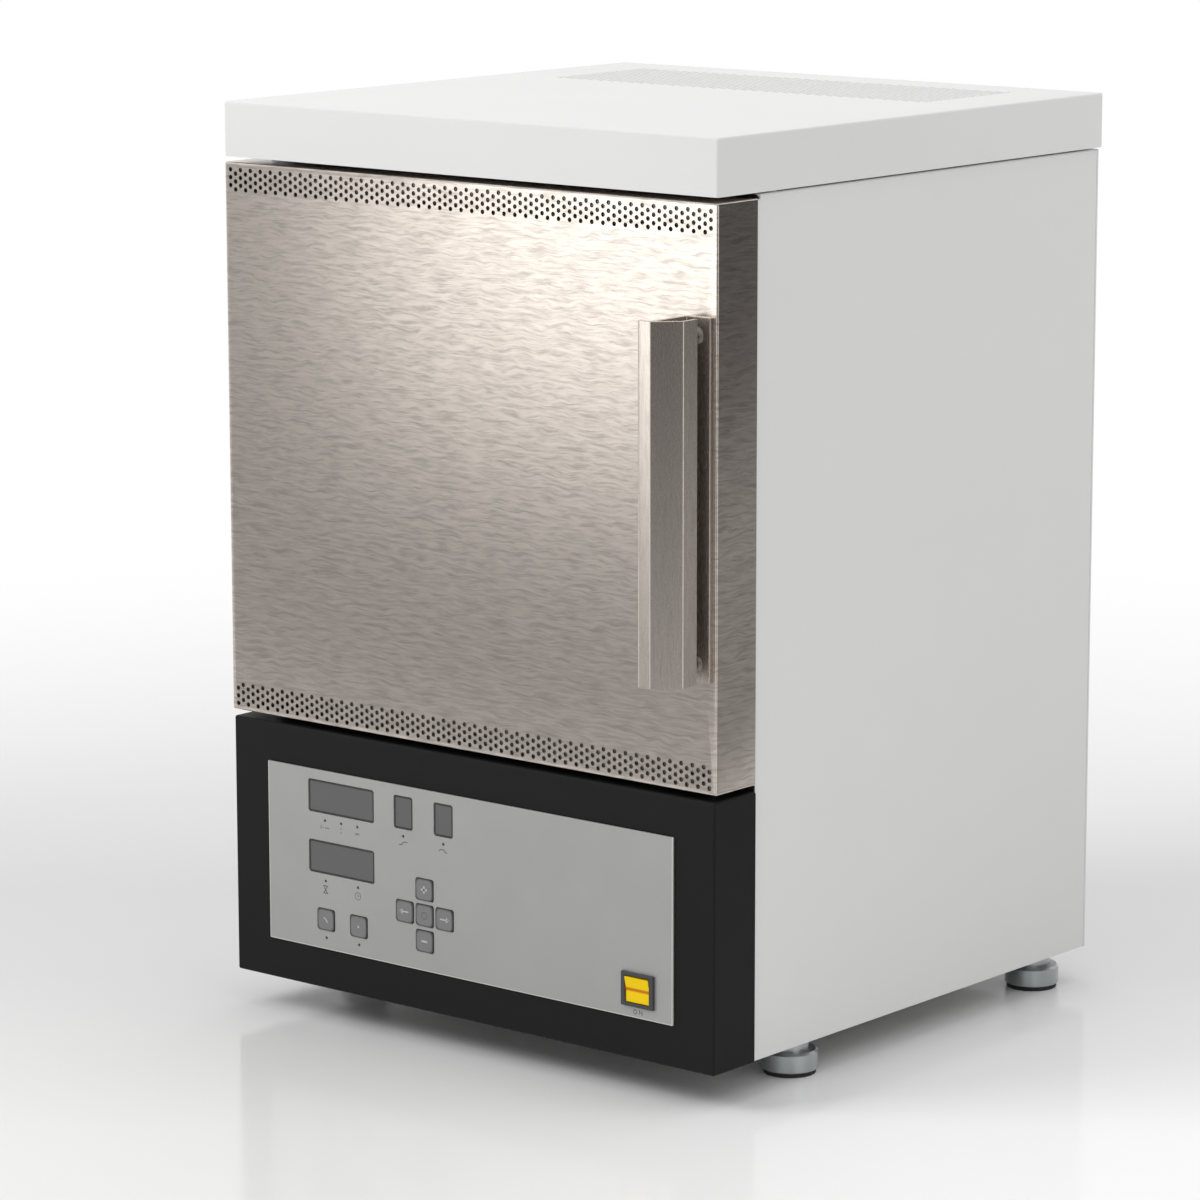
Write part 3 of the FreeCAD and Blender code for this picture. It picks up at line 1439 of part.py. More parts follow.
def transformer_clamp():
    """A dished plate with a bolt and nut that press the ring on the base plate."""
    spot = ("toroid_x", "toroid_y")
    above = "toroid_top + clamp_sheet"
    plate = sided_bar("ClampPlate", 12, "Z", spot, "clamp_radius", "toroid_top", above)
    bolt = sided_bar("ClampBolt", 6, "Z", spot, "clamp_bolt", "base_sheet",
                     f"{above} + clamp_bolt_rise")
    nut = sided_bar("ClampNut", 6, "Z", spot, "clamp_nut", "toroid_top",
                    f"{above} + clamp_nut_height")
    return seat(fuse("TransformerClamp", plate, bolt, nut), "transformer_clamp")


def heat_sink():
    """A finned profile that stands on the base plate."""
    body = new_body("HeatSink")
    count = int(value("sink_fins"))
    pitch = f"(sink_height - fin_sheet) / {count - 1}"
    base = "base_sheet"
    section = [("sink_x", base), ("sink_x + sink_depth", base)]
    for number in range(count):
        low = f"{base} + {number} * {pitch}"
        if number:
            section += [("sink_x + sink_base", low), ("sink_x + sink_depth", low)]
        top = f"{low} + fin_sheet"
        section.append(("sink_x + sink_depth", top))
        if number < count - 1:
            section.append(("sink_x + sink_base", top))
    section.append(("sink_x", f"{base} + sink_height"))
    pad(body, "Y", "sink_y", "sink_y + sink_length", [section])
    return seat(body, "heat_sink")


def power_parts():
    module = box("ThyristorBlock", ("sink_x - module_depth", "sink_x"),
                 mid("sink_y + sink_length / 2", "module_length"),
                 mid("base_sheet + sink_height / 2", "module_height"))
    seat(group("ThyristorModule", module), "thyristor_module")
    across = mid("contactor_x", "contactor_width")
    block = box("ContactorBlock", across, mid("contactor_y", "contactor_depth"),
                ("base_sheet", "base_sheet + contactor_shoulder"))
    crown = box("ContactorCrown", across, mid("contactor_y", "contactor_crown"),
                ("base_sheet", "base_sheet + contactor_height"))
    seat(fuse("MainContactor", block, crown), "main_contactor")


def build():
    top_cover()
    side_panel("left_side_panel", -1)
    side_panel("right_side_panel", 1)
    front_frame()
    rear_panel()
    base_plate()
    middle_shelf()
    lid_spacers()
    case_fasteners()
    feet()
    foot_pads()
    door_skin()
    door_inner_panel()
    door_insulation_tray()
    door_insulation()
    door_seal()
    door_handle()
    handle_screws()
    hinges()
    catch_magnets()
    chamber_casing()
    insulation()
    front_collar()
    hearth_plate()
    casing_rails()
    heating_elements()
    element_holders()
    terminal_straps()
    thermocouple()
    console_housing()
    control_panel()
    display_windows()
    display_modules()
    indicator_lenses()
    for node, spot in keys().items():
        key(node, spot)
    key_switches()
    control_board()
    board_spacers()
    switch_bezel()
    power_rocker()
    fan_frame()
    fan_rotor()
    fan_guard()
    mains_inlet()
    transformer()
    transformer_clamp()
    heat_sink()
    power_parts()


def check_and_write():
    """Stop on any failed object, then write each finished piece to its own file."""
    doc.recompute()
    for thing in doc.Objects:
        if "Invalid" in thing.State or "Error" in thing.State:
            raise RuntimeError(f"{thing.Name} ({thing.Label}) failed")
    for thing in FINISHED:
        if thing.Shape.isNull() or not thing.Shape.isValid():
            raise RuntimeError(thing.Label + " has no valid shape")
    os.makedirs("parts", exist_ok=True)
    for thing in FINISHED:
        thing.Shape.exportStep(f"parts/{thing.Label}.step")
        print(thing.Label, len(thing.Shape.Solids), round(thing.Shape.Volume))
    print(len(FINISHED), "pieces")


build()
check_and_write()
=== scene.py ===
import json
import math

import bmesh
import bpy
from mathutils import Matrix, Vector
from mathutils.geometry import delaunay_2d_cdt


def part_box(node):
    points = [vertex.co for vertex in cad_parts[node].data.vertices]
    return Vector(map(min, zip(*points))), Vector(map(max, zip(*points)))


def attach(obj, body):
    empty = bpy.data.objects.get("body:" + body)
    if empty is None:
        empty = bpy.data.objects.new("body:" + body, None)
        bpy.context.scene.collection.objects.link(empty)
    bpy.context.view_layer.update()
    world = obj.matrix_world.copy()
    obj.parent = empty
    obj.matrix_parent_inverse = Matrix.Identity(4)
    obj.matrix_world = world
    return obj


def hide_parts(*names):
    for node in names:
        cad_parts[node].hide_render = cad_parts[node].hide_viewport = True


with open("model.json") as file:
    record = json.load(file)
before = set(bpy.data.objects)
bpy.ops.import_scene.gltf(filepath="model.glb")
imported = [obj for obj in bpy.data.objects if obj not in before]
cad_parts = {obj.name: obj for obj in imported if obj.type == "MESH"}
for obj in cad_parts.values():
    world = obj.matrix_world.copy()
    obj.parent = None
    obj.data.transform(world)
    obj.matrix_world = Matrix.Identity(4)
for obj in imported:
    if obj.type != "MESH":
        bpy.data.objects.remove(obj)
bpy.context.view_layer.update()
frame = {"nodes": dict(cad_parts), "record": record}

# Lengths are in metres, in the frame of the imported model, unless a heading says millimetres.
MM = 0.001

# Camera, fitted to the photograph's 1200 pixel wide frame
FRAME_PIXELS = 1200
FOCAL_PIXELS = 4893.9
SENSOR_MM = 36
CAMERA_AZIMUTH = 39.748
CAMERA_ELEVATION = 10.772
CAMERA_ROLL = -0.077
CAMERA_AIM = Vector((-0.0232, -0.0158, 0.2648))
CAMERA_DISTANCE = 3.1832

# Sheet metal, in millimetres
DOOR_SHEET = 1.2
LID_SHEET = 1.5
DOOR_FOLD = 1.25
LID_FOLD = 1.6
HOLE_COLUMN = 4.33
HOLE_ROW = 5.0
DOOR_HOLE = 3.0
DOOR_HOLE_COLUMNS = 45
DOOR_HOLE_ROWS = 3
DOOR_LOW_MARGIN = 4.3
DOOR_TOP_MARGIN = 4.8
LID_HOLE = 3.0
LID_FIELD_SIDE = 46.0
LID_FIELD_FRONT = 270.0
LID_FIELD_BACK = 34.0
LID_LIP = 20.0
LID_FRONT_LIP = 43.0

# Handle profile, in millimetres
HANDLE_WALL = 3.0
HANDLE_BASE = 18.0
HANDLE_STEP = 1.0
HANDLE_BEVEL = 14.0
HANDLE_TOE = 3.0
HANDLE_SLOT = 10.5
HANDLE_FLANGE = 2.4

# Screws of the handle, in millimetres: radii of the hole, shank and socket, and heights of the head
SCREW_HOLE = 3.3
SCREW_SHANK = 3.0
SCREW_SOCKET = 2.2
SCREW_HEAD = 3.0
SCREW_SOLID_HEAD = 6.0
SCREW_SOCKET_DEPTH = 0.25

# Feet, in millimetres
FOOT_RADIUS = 17.75
FOOT_EDGE = 0.6
FOOT_SHOULDER = 1.4
FOOT_NECK = 7.7
FOOT_NECK_RADIUS = 12.0
FOOT_STUD_RADIUS = 4.0

# Heating elements, in millimetres: radii of the terminal and the rod, and half the gap of a U
TERMINAL_RADIUS = 6.0
ELEMENT_RADIUS = 3.0
ELEMENT_REACH = 15.0
TAPER_START = 5.0
TAPER_END = 7.0

# Fan guard, in millimetres, and its slot in the record
GUARD_PITCH = 21.0
GUARD_SLOT = next(entry["material_slot"] for entry in frame["record"]["subparts"]
                  if entry["node"] == "fan_guard")

# Control panel, in millimetres from its lower left corner
DISPLAY_HEIGHT = 21.6
DISPLAY_RIM = 1.5
DISPLAYS = ((63.6, 100.3, 56.8), (63.6, 60.5, 56.8), (117.0, 100.3, 16.0), (150.8, 100.3, 16.0))
UPPER_SIGN = 80.4
LOWER_SIGN = 39.6
SIGN_STEP = 14.0
SIGN_RISE = 0.04
FACE_GAP = 0.6
FACE_RISE = 0.05


def middle(node):
    low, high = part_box(node)
    return (low + high) / 2


# Mesh helpers

def finish_mesh(name, points, faces, smooth_below=35):
    """A mesh from points in metres, smooth over its bends, with level faces left flat."""
    mesh = bpy.data.meshes.new(name)
    mesh.from_pydata([tuple(point) for point in points], [], faces)
    mesh.validate()
    shape = bmesh.new()
    shape.from_mesh(mesh)
    bmesh.ops.remove_doubles(shape, verts=shape.verts, dist=1e-6)
    bmesh.ops.recalc_face_normals(shape, faces=shape.faces)
    for face in shape.faces:
        face.smooth = max(abs(part) for part in face.normal) < 0.9999
    shape.to_mesh(mesh)
    shape.free()
    mesh.set_sharp_from_angle(angle=math.radians(smooth_below))
    return mesh


def add_piece(name, mesh, material, body, slot, *nodes):
    """Put a finished mesh in the scene on a body, in place of the nodes it stands for."""
    piece = bpy.data.objects.new(name, mesh)
    bpy.context.scene.collection.objects.link(piece)
    mesh.materials.append(material)
    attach(piece, body)
    if nodes:
        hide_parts(*nodes)
    return piece


def circle(across, up, radius, sides):
    return [(across + radius * math.cos(math.tau * step / sides),
             up + radius * math.sin(math.tau * step / sides)) for step in range(sides)]


def flat_sheet(outline, holes):
    """Points and triangles of a flat sheet between an outline and its holes."""
    points = []
    edges = []
    owners = []
    for number, ring in enumerate([outline, *holes]):
        first = len(points)
        points += [Vector(spot) for spot in ring]
        owners += [number] * len(ring)
        edges += [(first + step, first + (step + 1) % len(ring)) for step in range(len(ring))]
    made = delaunay_2d_cdt(points, edges, [], 1, 1e-9)
    triangles = []
    for face in made[2]:
        rings = {owners[made[3][corner][0]] for corner in face}
        if len(rings) > 1 or 0 in rings:
            triangles.append(list(face))
    return [tuple(point) for point in made[0]], triangles


def rounded_ring(low, high, radius, steps):
    """A rectangle grown by a radius, with round corners, counterclockwise."""
    corners = ((high[0], low[1]), (high[0], high[1]), (low[0], high[1]), (low[0], low[1]))
    ring = []
    for number, (across, up) in enumerate(corners):
        for step in range(steps + 1):
            turn = math.radians(90 * (number - 1 + step / steps))
            ring.append((across + radius * math.cos(turn), up + radius * math.sin(turn)))
    return ring


def folded_tray(low, high, depth, sheet, fold, holes, place, lips=None):
    """Points and faces of a sheet folded into a tray, with holes through its face.

    low and high are opposite corners of the face, holes are closed rings, and place turns
    across, up and inward into a point of the frame. lips are the inner corners of an inward
    lip at the tray's open side.
    """
    steps = 4
    inset_low = (low[0] + fold, low[1] + fold)
    inset_high = (high[0] - fold, high[1] - fold)
    points = []
    faces = []

    def add_ring(ring, inward):
        first = len(points)
        points.extend(place(across, up, inward) for across, up in ring)
        return list(range(first, len(points)))

    def join(here, there):
        count = len(here)
        for step in range(count):
            after = (step + 1) % count
            faces.append([here[step], here[after], there[after], there[step]])

    def add_face(outline, inward):
        flat, triangles = flat_sheet(outline, holes)
        first = len(points)
        points.extend(place(across, up, inward) for across, up in flat)
        faces.extend([first + corner for corner in triangle] for triangle in triangles)

    corner_ring = [(inset_high[0], inset_low[1]), inset_high, (inset_low[0], inset_high[1]), inset_low]
    add_face(corner_ring, 0)
    rings = []
    for step in range(1, steps + 1):
        turn = math.radians(90 * step / steps)
        rings.append((rounded_ring(inset_low, inset_high, fold * math.sin(turn), steps),
                      fold * (1 - math.cos(turn))))
    outer = rounded_ring(inset_low, inset_high, fold, steps)
    inner = rounded_ring(inset_low, inset_high, fold - sheet, steps)
    rings.append((outer, depth))
    if lips:
        lip = rounded_ring(*lips, fold, steps)
        rings += [(lip, depth), (lip, depth - sheet), (inner, depth - sheet)]
    else:
        rings.append((inner, depth))
    rings.append((inner, sheet))
    marks = [add_ring(ring, inward) for ring, inward in rings]
    centre = add_ring(corner_ring, 0)
    width = steps + 1
    for number in range(4):
        first = marks[0][number * width:(number + 1) * width]
        after = (number + 1) % 4
        faces.extend([centre[number], first[step], first[step + 1]] for step in range(steps))
        faces.append([centre[number], first[-1], marks[0][after * width], centre[after]])
    for here, there in zip(marks, marks[1:]):
        join(here, there)
    add_face(inner, sheet)
    for hole in holes:
        join(add_ring(hole, 0), add_ring(hole, sheet))
    return points, faces


def lathe(profile, centre, sides):
    """Points and faces of a turned piece about an upright axis, from (radius, height) pairs."""
    points = []
    faces = []
    for radius, height in profile:
        points.extend(Vector((x, y, height)) for x, y in circle(centre.x, centre.y, radius, sides))
    for ring in range(len(profile) - 1):
        for step in range(sides):
            after = (step + 1) % sides
            first = ring * sides
            faces.append([first + step, first + after, first + sides + after, first + sides + step])
    faces.append(list(range(sides)))
    faces.append([len(points) - sides + step for step in range(sides)])
    return points, faces


def join_shapes(shapes):
    """Several (points, faces) pairs as one."""
    points = []
    faces = []
    for more_points, more_faces in shapes:
        first = len(points)
        points.extend(more_points)
        faces.extend([first + corner for corner in face] for face in more_faces)
    return points, faces


def rod(path, radii, sides):
    """Points and faces of a rod that follows a path in one upright plane."""
    points = []
    faces = []
    side_way = Vector((1, 0, 0))
    for step, (spot, radius) in enumerate(zip(path, radii)):
        ahead = path[min(step + 1, len(path) - 1)] - path[max(step - 1, 0)]
        up_way = side_way.cross(ahead.normalized())
        for turn in range(sides):
            angle = math.tau * turn / sides
            points.append(spot + radius * (math.cos(angle) * side_way + math.sin(angle) * up_way))
    for ring in range(len(path) - 1):
        for step in range(sides):
            after = (step + 1) % sides
            first = ring * sides
            faces.append([first + step, first + after, first + sides + after, first + sides + step])
    faces.append(list(range(sides)))
    faces.append([len(points) - sides + step for step in range(sides)])
    return points, faces


def hoop(centre, radius, wire, sides=64, around=10):
    """Points and faces of a round wire ring in a wall that faces front or back."""
    points = []
    faces = []
    for step in range(sides):
        turn = math.tau * step / sides
        outward = Vector((math.cos(turn), 0, math.sin(turn)))
        for part in range(around):
            angle = math.tau * part / around
            points.append(centre + outward * (radius + wire * math.cos(angle))
                          + Vector((0, wire * math.sin(angle), 0)))
            here, there = step * around, (step + 1) % sides * around
            after = (part + 1) % around
            faces.append([here + part, here + after, there + after, there + part])
    return points, faces


def round_corners(outline, radii, steps=5):
    """A closed outline whose corners are rounded where their radius isn't zero."""
    rounded = []
    count = len(outline)
    for number, (spot, radius) in enumerate(zip(outline, radii)):
        corner = Vector(spot)
        if not radius:
            rounded.append(corner)
            continue
        back = (Vector(outline[number - 1]) - corner).normalized()
        ahead = (Vector(outline[(number + 1) % count]) - corner).normalized()
        half = back.angle(ahead) / 2
        centre = corner + (back + ahead).normalized() * radius / math.sin(half)
        first = corner + back * radius / math.tan(half) - centre
        last = corner + ahead * radius / math.tan(half) - centre
        for step in range(steps + 1):
            rounded.append(centre + (first * (steps - step) + last * step).normalized() * radius)
    return rounded


def stroke(line, width, place, rise, closed=False):
    """A thin raised line through flat points, as one joined ribbon."""
    spots = [Vector(spot) for spot in line]
    count = len(spots)
    left = []
    right = []
    for step, spot in enumerate(spots):
        before = spots[step - 1] if step or closed else spot
        after = spots[(step + 1) % count] if step < count - 1 or closed else spot
        first = (spot - before).normalized() if before != spot else (after - spot).normalized()
        second = (after - spot).normalized() if after != spot else first
        way = (first + second).normalized()
        across = Vector((-way.y, way.x))
        stretch = min(1 / max(abs(across.dot(Vector((-first.y, first.x)))), 0.4), 2.5)
        left.append(spot + across * width / 2 * stretch)
        right.append(spot - across * width / 2 * stretch)
    points = [place(spot.x, spot.y, lift) for lift in (0, rise) for spot in left + right]
    faces = []
    for step in range(count if closed else count - 1):
        after = (step + 1) % count
        upper = 2 * count
        faces.append([upper + step, upper + after, upper + count + after, upper + count + step])
        faces.append([step, after, upper + after, upper + step])
        faces.append([count + step, count + after, upper + count + after, upper + count + step])
    if not closed:
        for end in (0, count - 1):
            faces.append([end, count + end, 3 * count + end, 2 * count + end])
    return points, faces


# Node building helpers

class Shader:
    """A material's node tree, with short calls for the nodes used here."""

    def __init__(self, name):
        self.material = bpy.data.materials.new(name)
        self.material.use_nodes = True
        self.tree = self.material.node_tree
        self.tree.nodes.clear()
        self.output = self.node("ShaderNodeOutputMaterial")
        self.surface = self.node("ShaderNodeBsdfPrincipled")
        self.link(self.surface.outputs["BSDF"], self.output.inputs["Surface"])

    def node(self, kind, **settings):
        made = self.tree.nodes.new(kind)
        for key, setting in settings.items():
            setattr(made, key, setting)
        return made

    def link(self, source, target):
        self.tree.links.new(source, target)

    def put(self, node, socket, source):
        """Give a socket a number, a colour or another node's output."""
        target = node.inputs[socket]
        if isinstance(source, bpy.types.NodeSocket):
            self.link(source, target)
        elif isinstance(source, tuple) and len(source) == 3 and target.type == "RGBA":
            target.default_value = (*source, 1)
        else:
            target.default_value = source

    def set(self, **sockets):
        """Set the principled shader's sockets, with underscores for spaces."""
        for key, source in sockets.items():
            self.put(self.surface, key.replace("_", " "), source)
        return self

    def place(self):
        """The surface point in metres, in the frame of the model."""
        return self.node("ShaderNodeTexCoord").outputs["Object"]

    def parts(self, vector):
        split = self.node("ShaderNodeSeparateXYZ")
        self.put(split, "Vector", vector)
        return split.outputs

    def join(self, across, up):
        made = self.node("ShaderNodeCombineXYZ")
        self.put(made, "X", across)
        self.put(made, "Y", up)
        return made.outputs["Vector"]

    def stretch(self, vector, scale):
        mapping = self.node("ShaderNodeMapping")
        self.put(mapping, "Vector", vector)
        self.put(mapping, "Scale", scale)
        return mapping.outputs["Vector"]

    def noise(self, vector, scale, detail=2.0, roughness=0.5, distortion=0.0):
        made = self.node("ShaderNodeTexNoise")
        self.put(made, "Vector", vector)
        self.put(made, "Scale", scale)
        self.put(made, "Detail", detail)
        self.put(made, "Roughness", roughness)
        self.put(made, "Distortion", distortion)
        return made.outputs["Fac"]

    def ramp(self, source, *stops):
        """A colour or grey scale by position; each stop is (place, colour or grey)."""
        made = self.node("ShaderNodeValToRGB")
        self.put(made, "Fac", source)
        while len(made.color_ramp.elements) < len(stops):
            made.color_ramp.elements.new(1)
        for element, (spot, colour) in zip(made.color_ramp.elements, stops):
            element.position = spot
            grey = not isinstance(colour, tuple)
            element.color = (colour, colour, colour, 1) if grey else (*colour, 1)
        return made.outputs["Color"]

    def spread(self, source, low, high):
        """Spread a value from 0..1 over low..high."""
        made = self.node("ShaderNodeMapRange")
        self.put(made, "Value", source)
        self.put(made, "To Min", low)
        self.put(made, "To Max", high)
        return made.outputs["Result"]

    def math(self, operation, first, second=0.0):
        made = self.node("ShaderNodeMath", operation=operation)
        self.put(made, 0, first)
        self.put(made, 1, second)
        return made.outputs["Value"]

    def mix(self, factor, first, second, blend="MIX"):
        made = self.node("ShaderNodeMix", data_type="RGBA", blend_type=blend)
        for socket, source in ((0, factor), (6, first), (7, second)):
            self.put(made, socket, source)
        return made.outputs[2]

    def bump(self, height, strength, depth):
        made = self.node("ShaderNodeBump")
        self.put(made, "Height", height)
        self.put(made, "Strength", strength)
        self.put(made, "Distance", depth)
        self.put(self.surface, "Normal", made.outputs["Normal"])
        return self


# Materials

WHITE = (0.79, 0.79, 0.785)
STEEL = (0.68, 0.613, 0.555)
BLACK = (0.013, 0.013, 0.013)
# the cut edge's bare tone with a painted highlight, for the control panel's sides and foot
EDGE_TONE_AND_HIGHLIGHT = (0.66, 0.65, 0.63)
# darker orange of the painted shade on the rocker's crease and flanks
CREASE_SHADE = (0.62, 0.19, 0.0)
EDGE_WIDTH = 0.0007
HATCH_WAVES = 9000.0
SWAY = 0.0055

# A key's hidden flange widens its box, so its visible face spans less than the box: the box over the face
KEY_BOX = 2.326


def shaded(colour, amount):
    return tuple(channel * amount for channel in colour)


def powder_coat(name, colour, grain=900, depth=0.00003, rough=0.42, shine=0.4):
    """Powder coat: fine orange peel, with a faint mottling of the colour."""
    shader = Shader(name)
    place = shader.place()
    peel = shader.noise(place, grain, detail=3)
    cloud = shader.noise(place, 14, detail=4)
    shader.set(Base_Color=shader.mix(cloud, shaded(colour, 0.965), colour),
               Roughness=shader.spread(peel, rough - 0.05, rough + 0.07),
               Specular_IOR_Level=shine)
    return shader.bump(peel, 0.35, depth).material


def brushed(name, colour, upright=False, rough=0.22, depth=0.00003, streak=1.0, metallic=1.0):
    """Brushed steel: short wavy strokes laid level, or upright, on every wall."""
    shader = Shader(name)
    spot = shader.parts(shader.place())
    walk = shader.math("ADD", spot["X"], spot["Y"])
    along, across = (spot["Z"], walk) if upright else (walk, spot["Z"])
    if not upright:
        facing = shader.parts(shader.node("ShaderNodeNewGeometry").outputs["Normal"])["Z"]
        level = shader.math("GREATER_THAN", shader.math("ABSOLUTE", facing), 0.7)
        across = shader.math("ADD", across, shader.math("MULTIPLY", level, spot["Y"]))
        along = shader.math("SUBTRACT", along, shader.math("MULTIPLY", level, spot["Y"]))
    field = shader.join(along, across)
    sway = shader.noise(shader.stretch(field, (58, 95, 1)), 1.0, detail=1)
    field = shader.join(along, shader.math("ADD", across, shader.math("MULTIPLY", sway, SWAY)))
    strokes = shader.noise(shader.stretch(field, (100, 1250, 1)), 1.0, detail=3, roughness=0.62)
    waves = shader.noise(shader.stretch(field, (50, 420, 1)), 1.0, detail=3, distortion=0.5)
    both = shader.mix(0.55, strokes, waves)
    tone = shader.ramp(both, (0.38, 1 - 0.34 * streak), (0.5, 1 - 0.12 * streak), (0.6, 1.0))
    shader.set(Base_Color=shader.mix(1.0, colour, tone, "MULTIPLY"), Metallic=metallic,
               Roughness=shader.spread(both, rough + 0.08, rough - 0.06))
    return shader.bump(both, 0.3 * streak, depth).material


def plain_metal(name, colour, rough=0.3, grain=60, metallic=1.0, shade_reach=0.0):
    """Bare or plated metal with faint clouds in its tone and gloss, and painted shade in its recesses
    where ambient occlusion finds them.
    """
    shader = Shader(name)
    place = shader.place()
    cloud = shader.noise(place, grain, detail=5)
    shade = shader.mix(cloud, shaded(colour, 0.86), colour)
    if shade_reach:
        # painted shade: ambient occlusion darkens the colour in recesses, such as the screws' sockets
        open_sky = shader.node("ShaderNodeAmbientOcclusion", samples=8)
        shader.put(open_sky, "Distance", shade_reach)
        recess_shade = shader.ramp(open_sky.outputs["AO"], (0.3, 0.02), (0.75, 1.0))
        shade = shader.mix(1.0, shade, recess_shade, "MULTIPLY")
    shader.set(Base_Color=shade, Metallic=metallic,
               Roughness=shader.spread(cloud, rough - 0.06, rough + 0.1))
    return shader.bump(shader.noise(place, grain * 12, detail=2), 0.15, 0.00002).material


def moulded(name, colour, rough=0.45, grain=2600, depth=0.00002, coat=0.0):
    """Moulded plastic with a fine spark-eroded texture."""
    shader = Shader(name)
    place = shader.place()
    texture = shader.noise(place, grain, detail=2)
    cloud = shader.noise(place, 90, detail=3)
    shader.set(Base_Color=shader.mix(cloud, shaded(colour, 0.9), colour),
               Roughness=shader.spread(texture, rough - 0.06, rough + 0.08),
               Coat_Weight=coat, Coat_Roughness=0.12)
    return shader.bump(texture, 0.3, depth).material


def fibrous(name, colour, scale=700, depth=0.0003):
    """Pressed ceramic fibre: matt, with short fibres and soft pits."""
    shader = Shader(name)
    place = shader.place()
    fibres = shader.noise(shader.stretch(place, (1, 1, 3)), scale, detail=6, roughness=0.7)
    pits = shader.noise(place, scale / 8, detail=4)
    darker = shaded(colour, 0.8)
    shade = shader.mix(shader.ramp(fibres, (0.35, 0.0), (0.6, 1.0)), darker, colour)
    shader.set(Base_Color=shader.mix(shader.ramp(pits, (0.3, 0.25), (0.5, 0.0)), shade, darker),
               Roughness=0.95, Specular_IOR_Level=0.2)
    return shader.bump(fibres, 0.7, depth).material


def hatched(name, colour):
    """The face of a display: a fine upright hatch under a satin filter."""
    shader = Shader(name)
    across = shader.parts(shader.place())["X"]
    wave = shader.math("SINE", shader.math("MULTIPLY", across, HATCH_WAVES))
    shader.set(Base_Color=shader.mix(shader.spread(wave, 0.0, 1.0), colour, shaded(colour, 1.25)),
               Roughness=0.4, Specular_IOR_Level=0.3)
    return shader.bump(wave, 0.1, 0.00001).material


def panel_plate(name, colour):
    """Satin anodised plate with a thin bright band painted at its sides and foot: the cut edge's bare tone
    with a painted highlight on it.
    """
    shader = Shader(name)
    place = shader.place()
    low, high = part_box("control_panel")
    spot = shader.parts(place)
    gaps = [shader.math("SUBTRACT", spot["X"], low.x), shader.math("SUBTRACT", high.x, spot["X"]),
            shader.math("SUBTRACT", spot["Z"], low.z)]
    nearest = gaps[0]
    for gap in gaps[1:]:
        nearest = shader.math("MINIMUM", nearest, gap)
    # painted highlight over the cut edge: surfaces within EDGE_WIDTH of the sides and foot are painted
    # bright
    rim = shader.math("LESS_THAN", nearest, EDGE_WIDTH)
    cloud = shader.noise(place, 30, detail=5)
    face = shader.mix(cloud, shaded(colour, 0.9), colour)
    shader.set(Base_Color=shader.mix(rim, face, EDGE_TONE_AND_HIGHLIGHT), Metallic=0.35,
               Roughness=shader.spread(cloud, 0.44, 0.6))
    return shader.bump(shader.noise(place, 900, detail=3), 0.2, 0.00002).material


def key_cap(name, colour):
    """Grey key with painted shade for a pillow shape: its rim and, more so, its corners are painted
    darker.
    """
    shader = Shader(name)
    spot = shader.parts(shader.node("ShaderNodeTexCoord").outputs["Generated"])
    reach = []
    for axis in ("X", "Z"):
        wide = shader.math("SUBTRACT", shader.math("MULTIPLY", spot[axis], KEY_BOX), KEY_BOX / 2)
        reach.append(shader.math("POWER", shader.math("ABSOLUTE", wide), 5.0))
    edge = shader.math("ADD", *reach)
    texture = shader.noise(shader.place(), 2600, detail=2)
    # painted shade: the colour darkens towards the key's rim and corners
    rim_shade = shader.ramp(edge, (0.35, 0.0), (0.7, 0.6), (0.95, 1.0))
    shader.set(Base_Color=shader.mix(rim_shade, colour, shaded(colour, 0.22)),
               Roughness=shader.spread(texture, 0.44, 0.58))
    return shader.bump(texture, 0.3, 0.00002).material


def rocker_plastic(name, colour):
    """Yellow rocker with painted shade: a darker orange painted on its flanks and along the crease between
    its halves.
    """
    shader = Shader(name)
    place = shader.place()
    centre = middle("power_rocker")
    rise = shader.math("ABSOLUTE", shader.math("SUBTRACT", shader.parts(place)["Z"], centre.z))
    # painted shade along the crease between the rocker's halves
    crease = shader.ramp(shader.math("MULTIPLY", rise, 500.0), (0.25, 1.0), (0.75, 0.0))
    facing = shader.parts(shader.node("ShaderNodeNewGeometry").outputs["Normal"])["X"]
    # painted shade on the faces turned sideways
    flank_shade = shader.ramp(shader.math("ABSOLUTE", facing), (0.4, 0.0), (0.7, 0.7))
    crease = shader.math("MAXIMUM", crease, flank_shade)
    texture = shader.noise(place, 2600, detail=2)
    shader.set(Base_Color=shader.mix(crease, colour, CREASE_SHADE),
               Roughness=shader.spread(texture, 0.36, 0.46), Specular_IOR_Level=0.2)
    return shader.bump(texture, 0.2, 0.00002).material


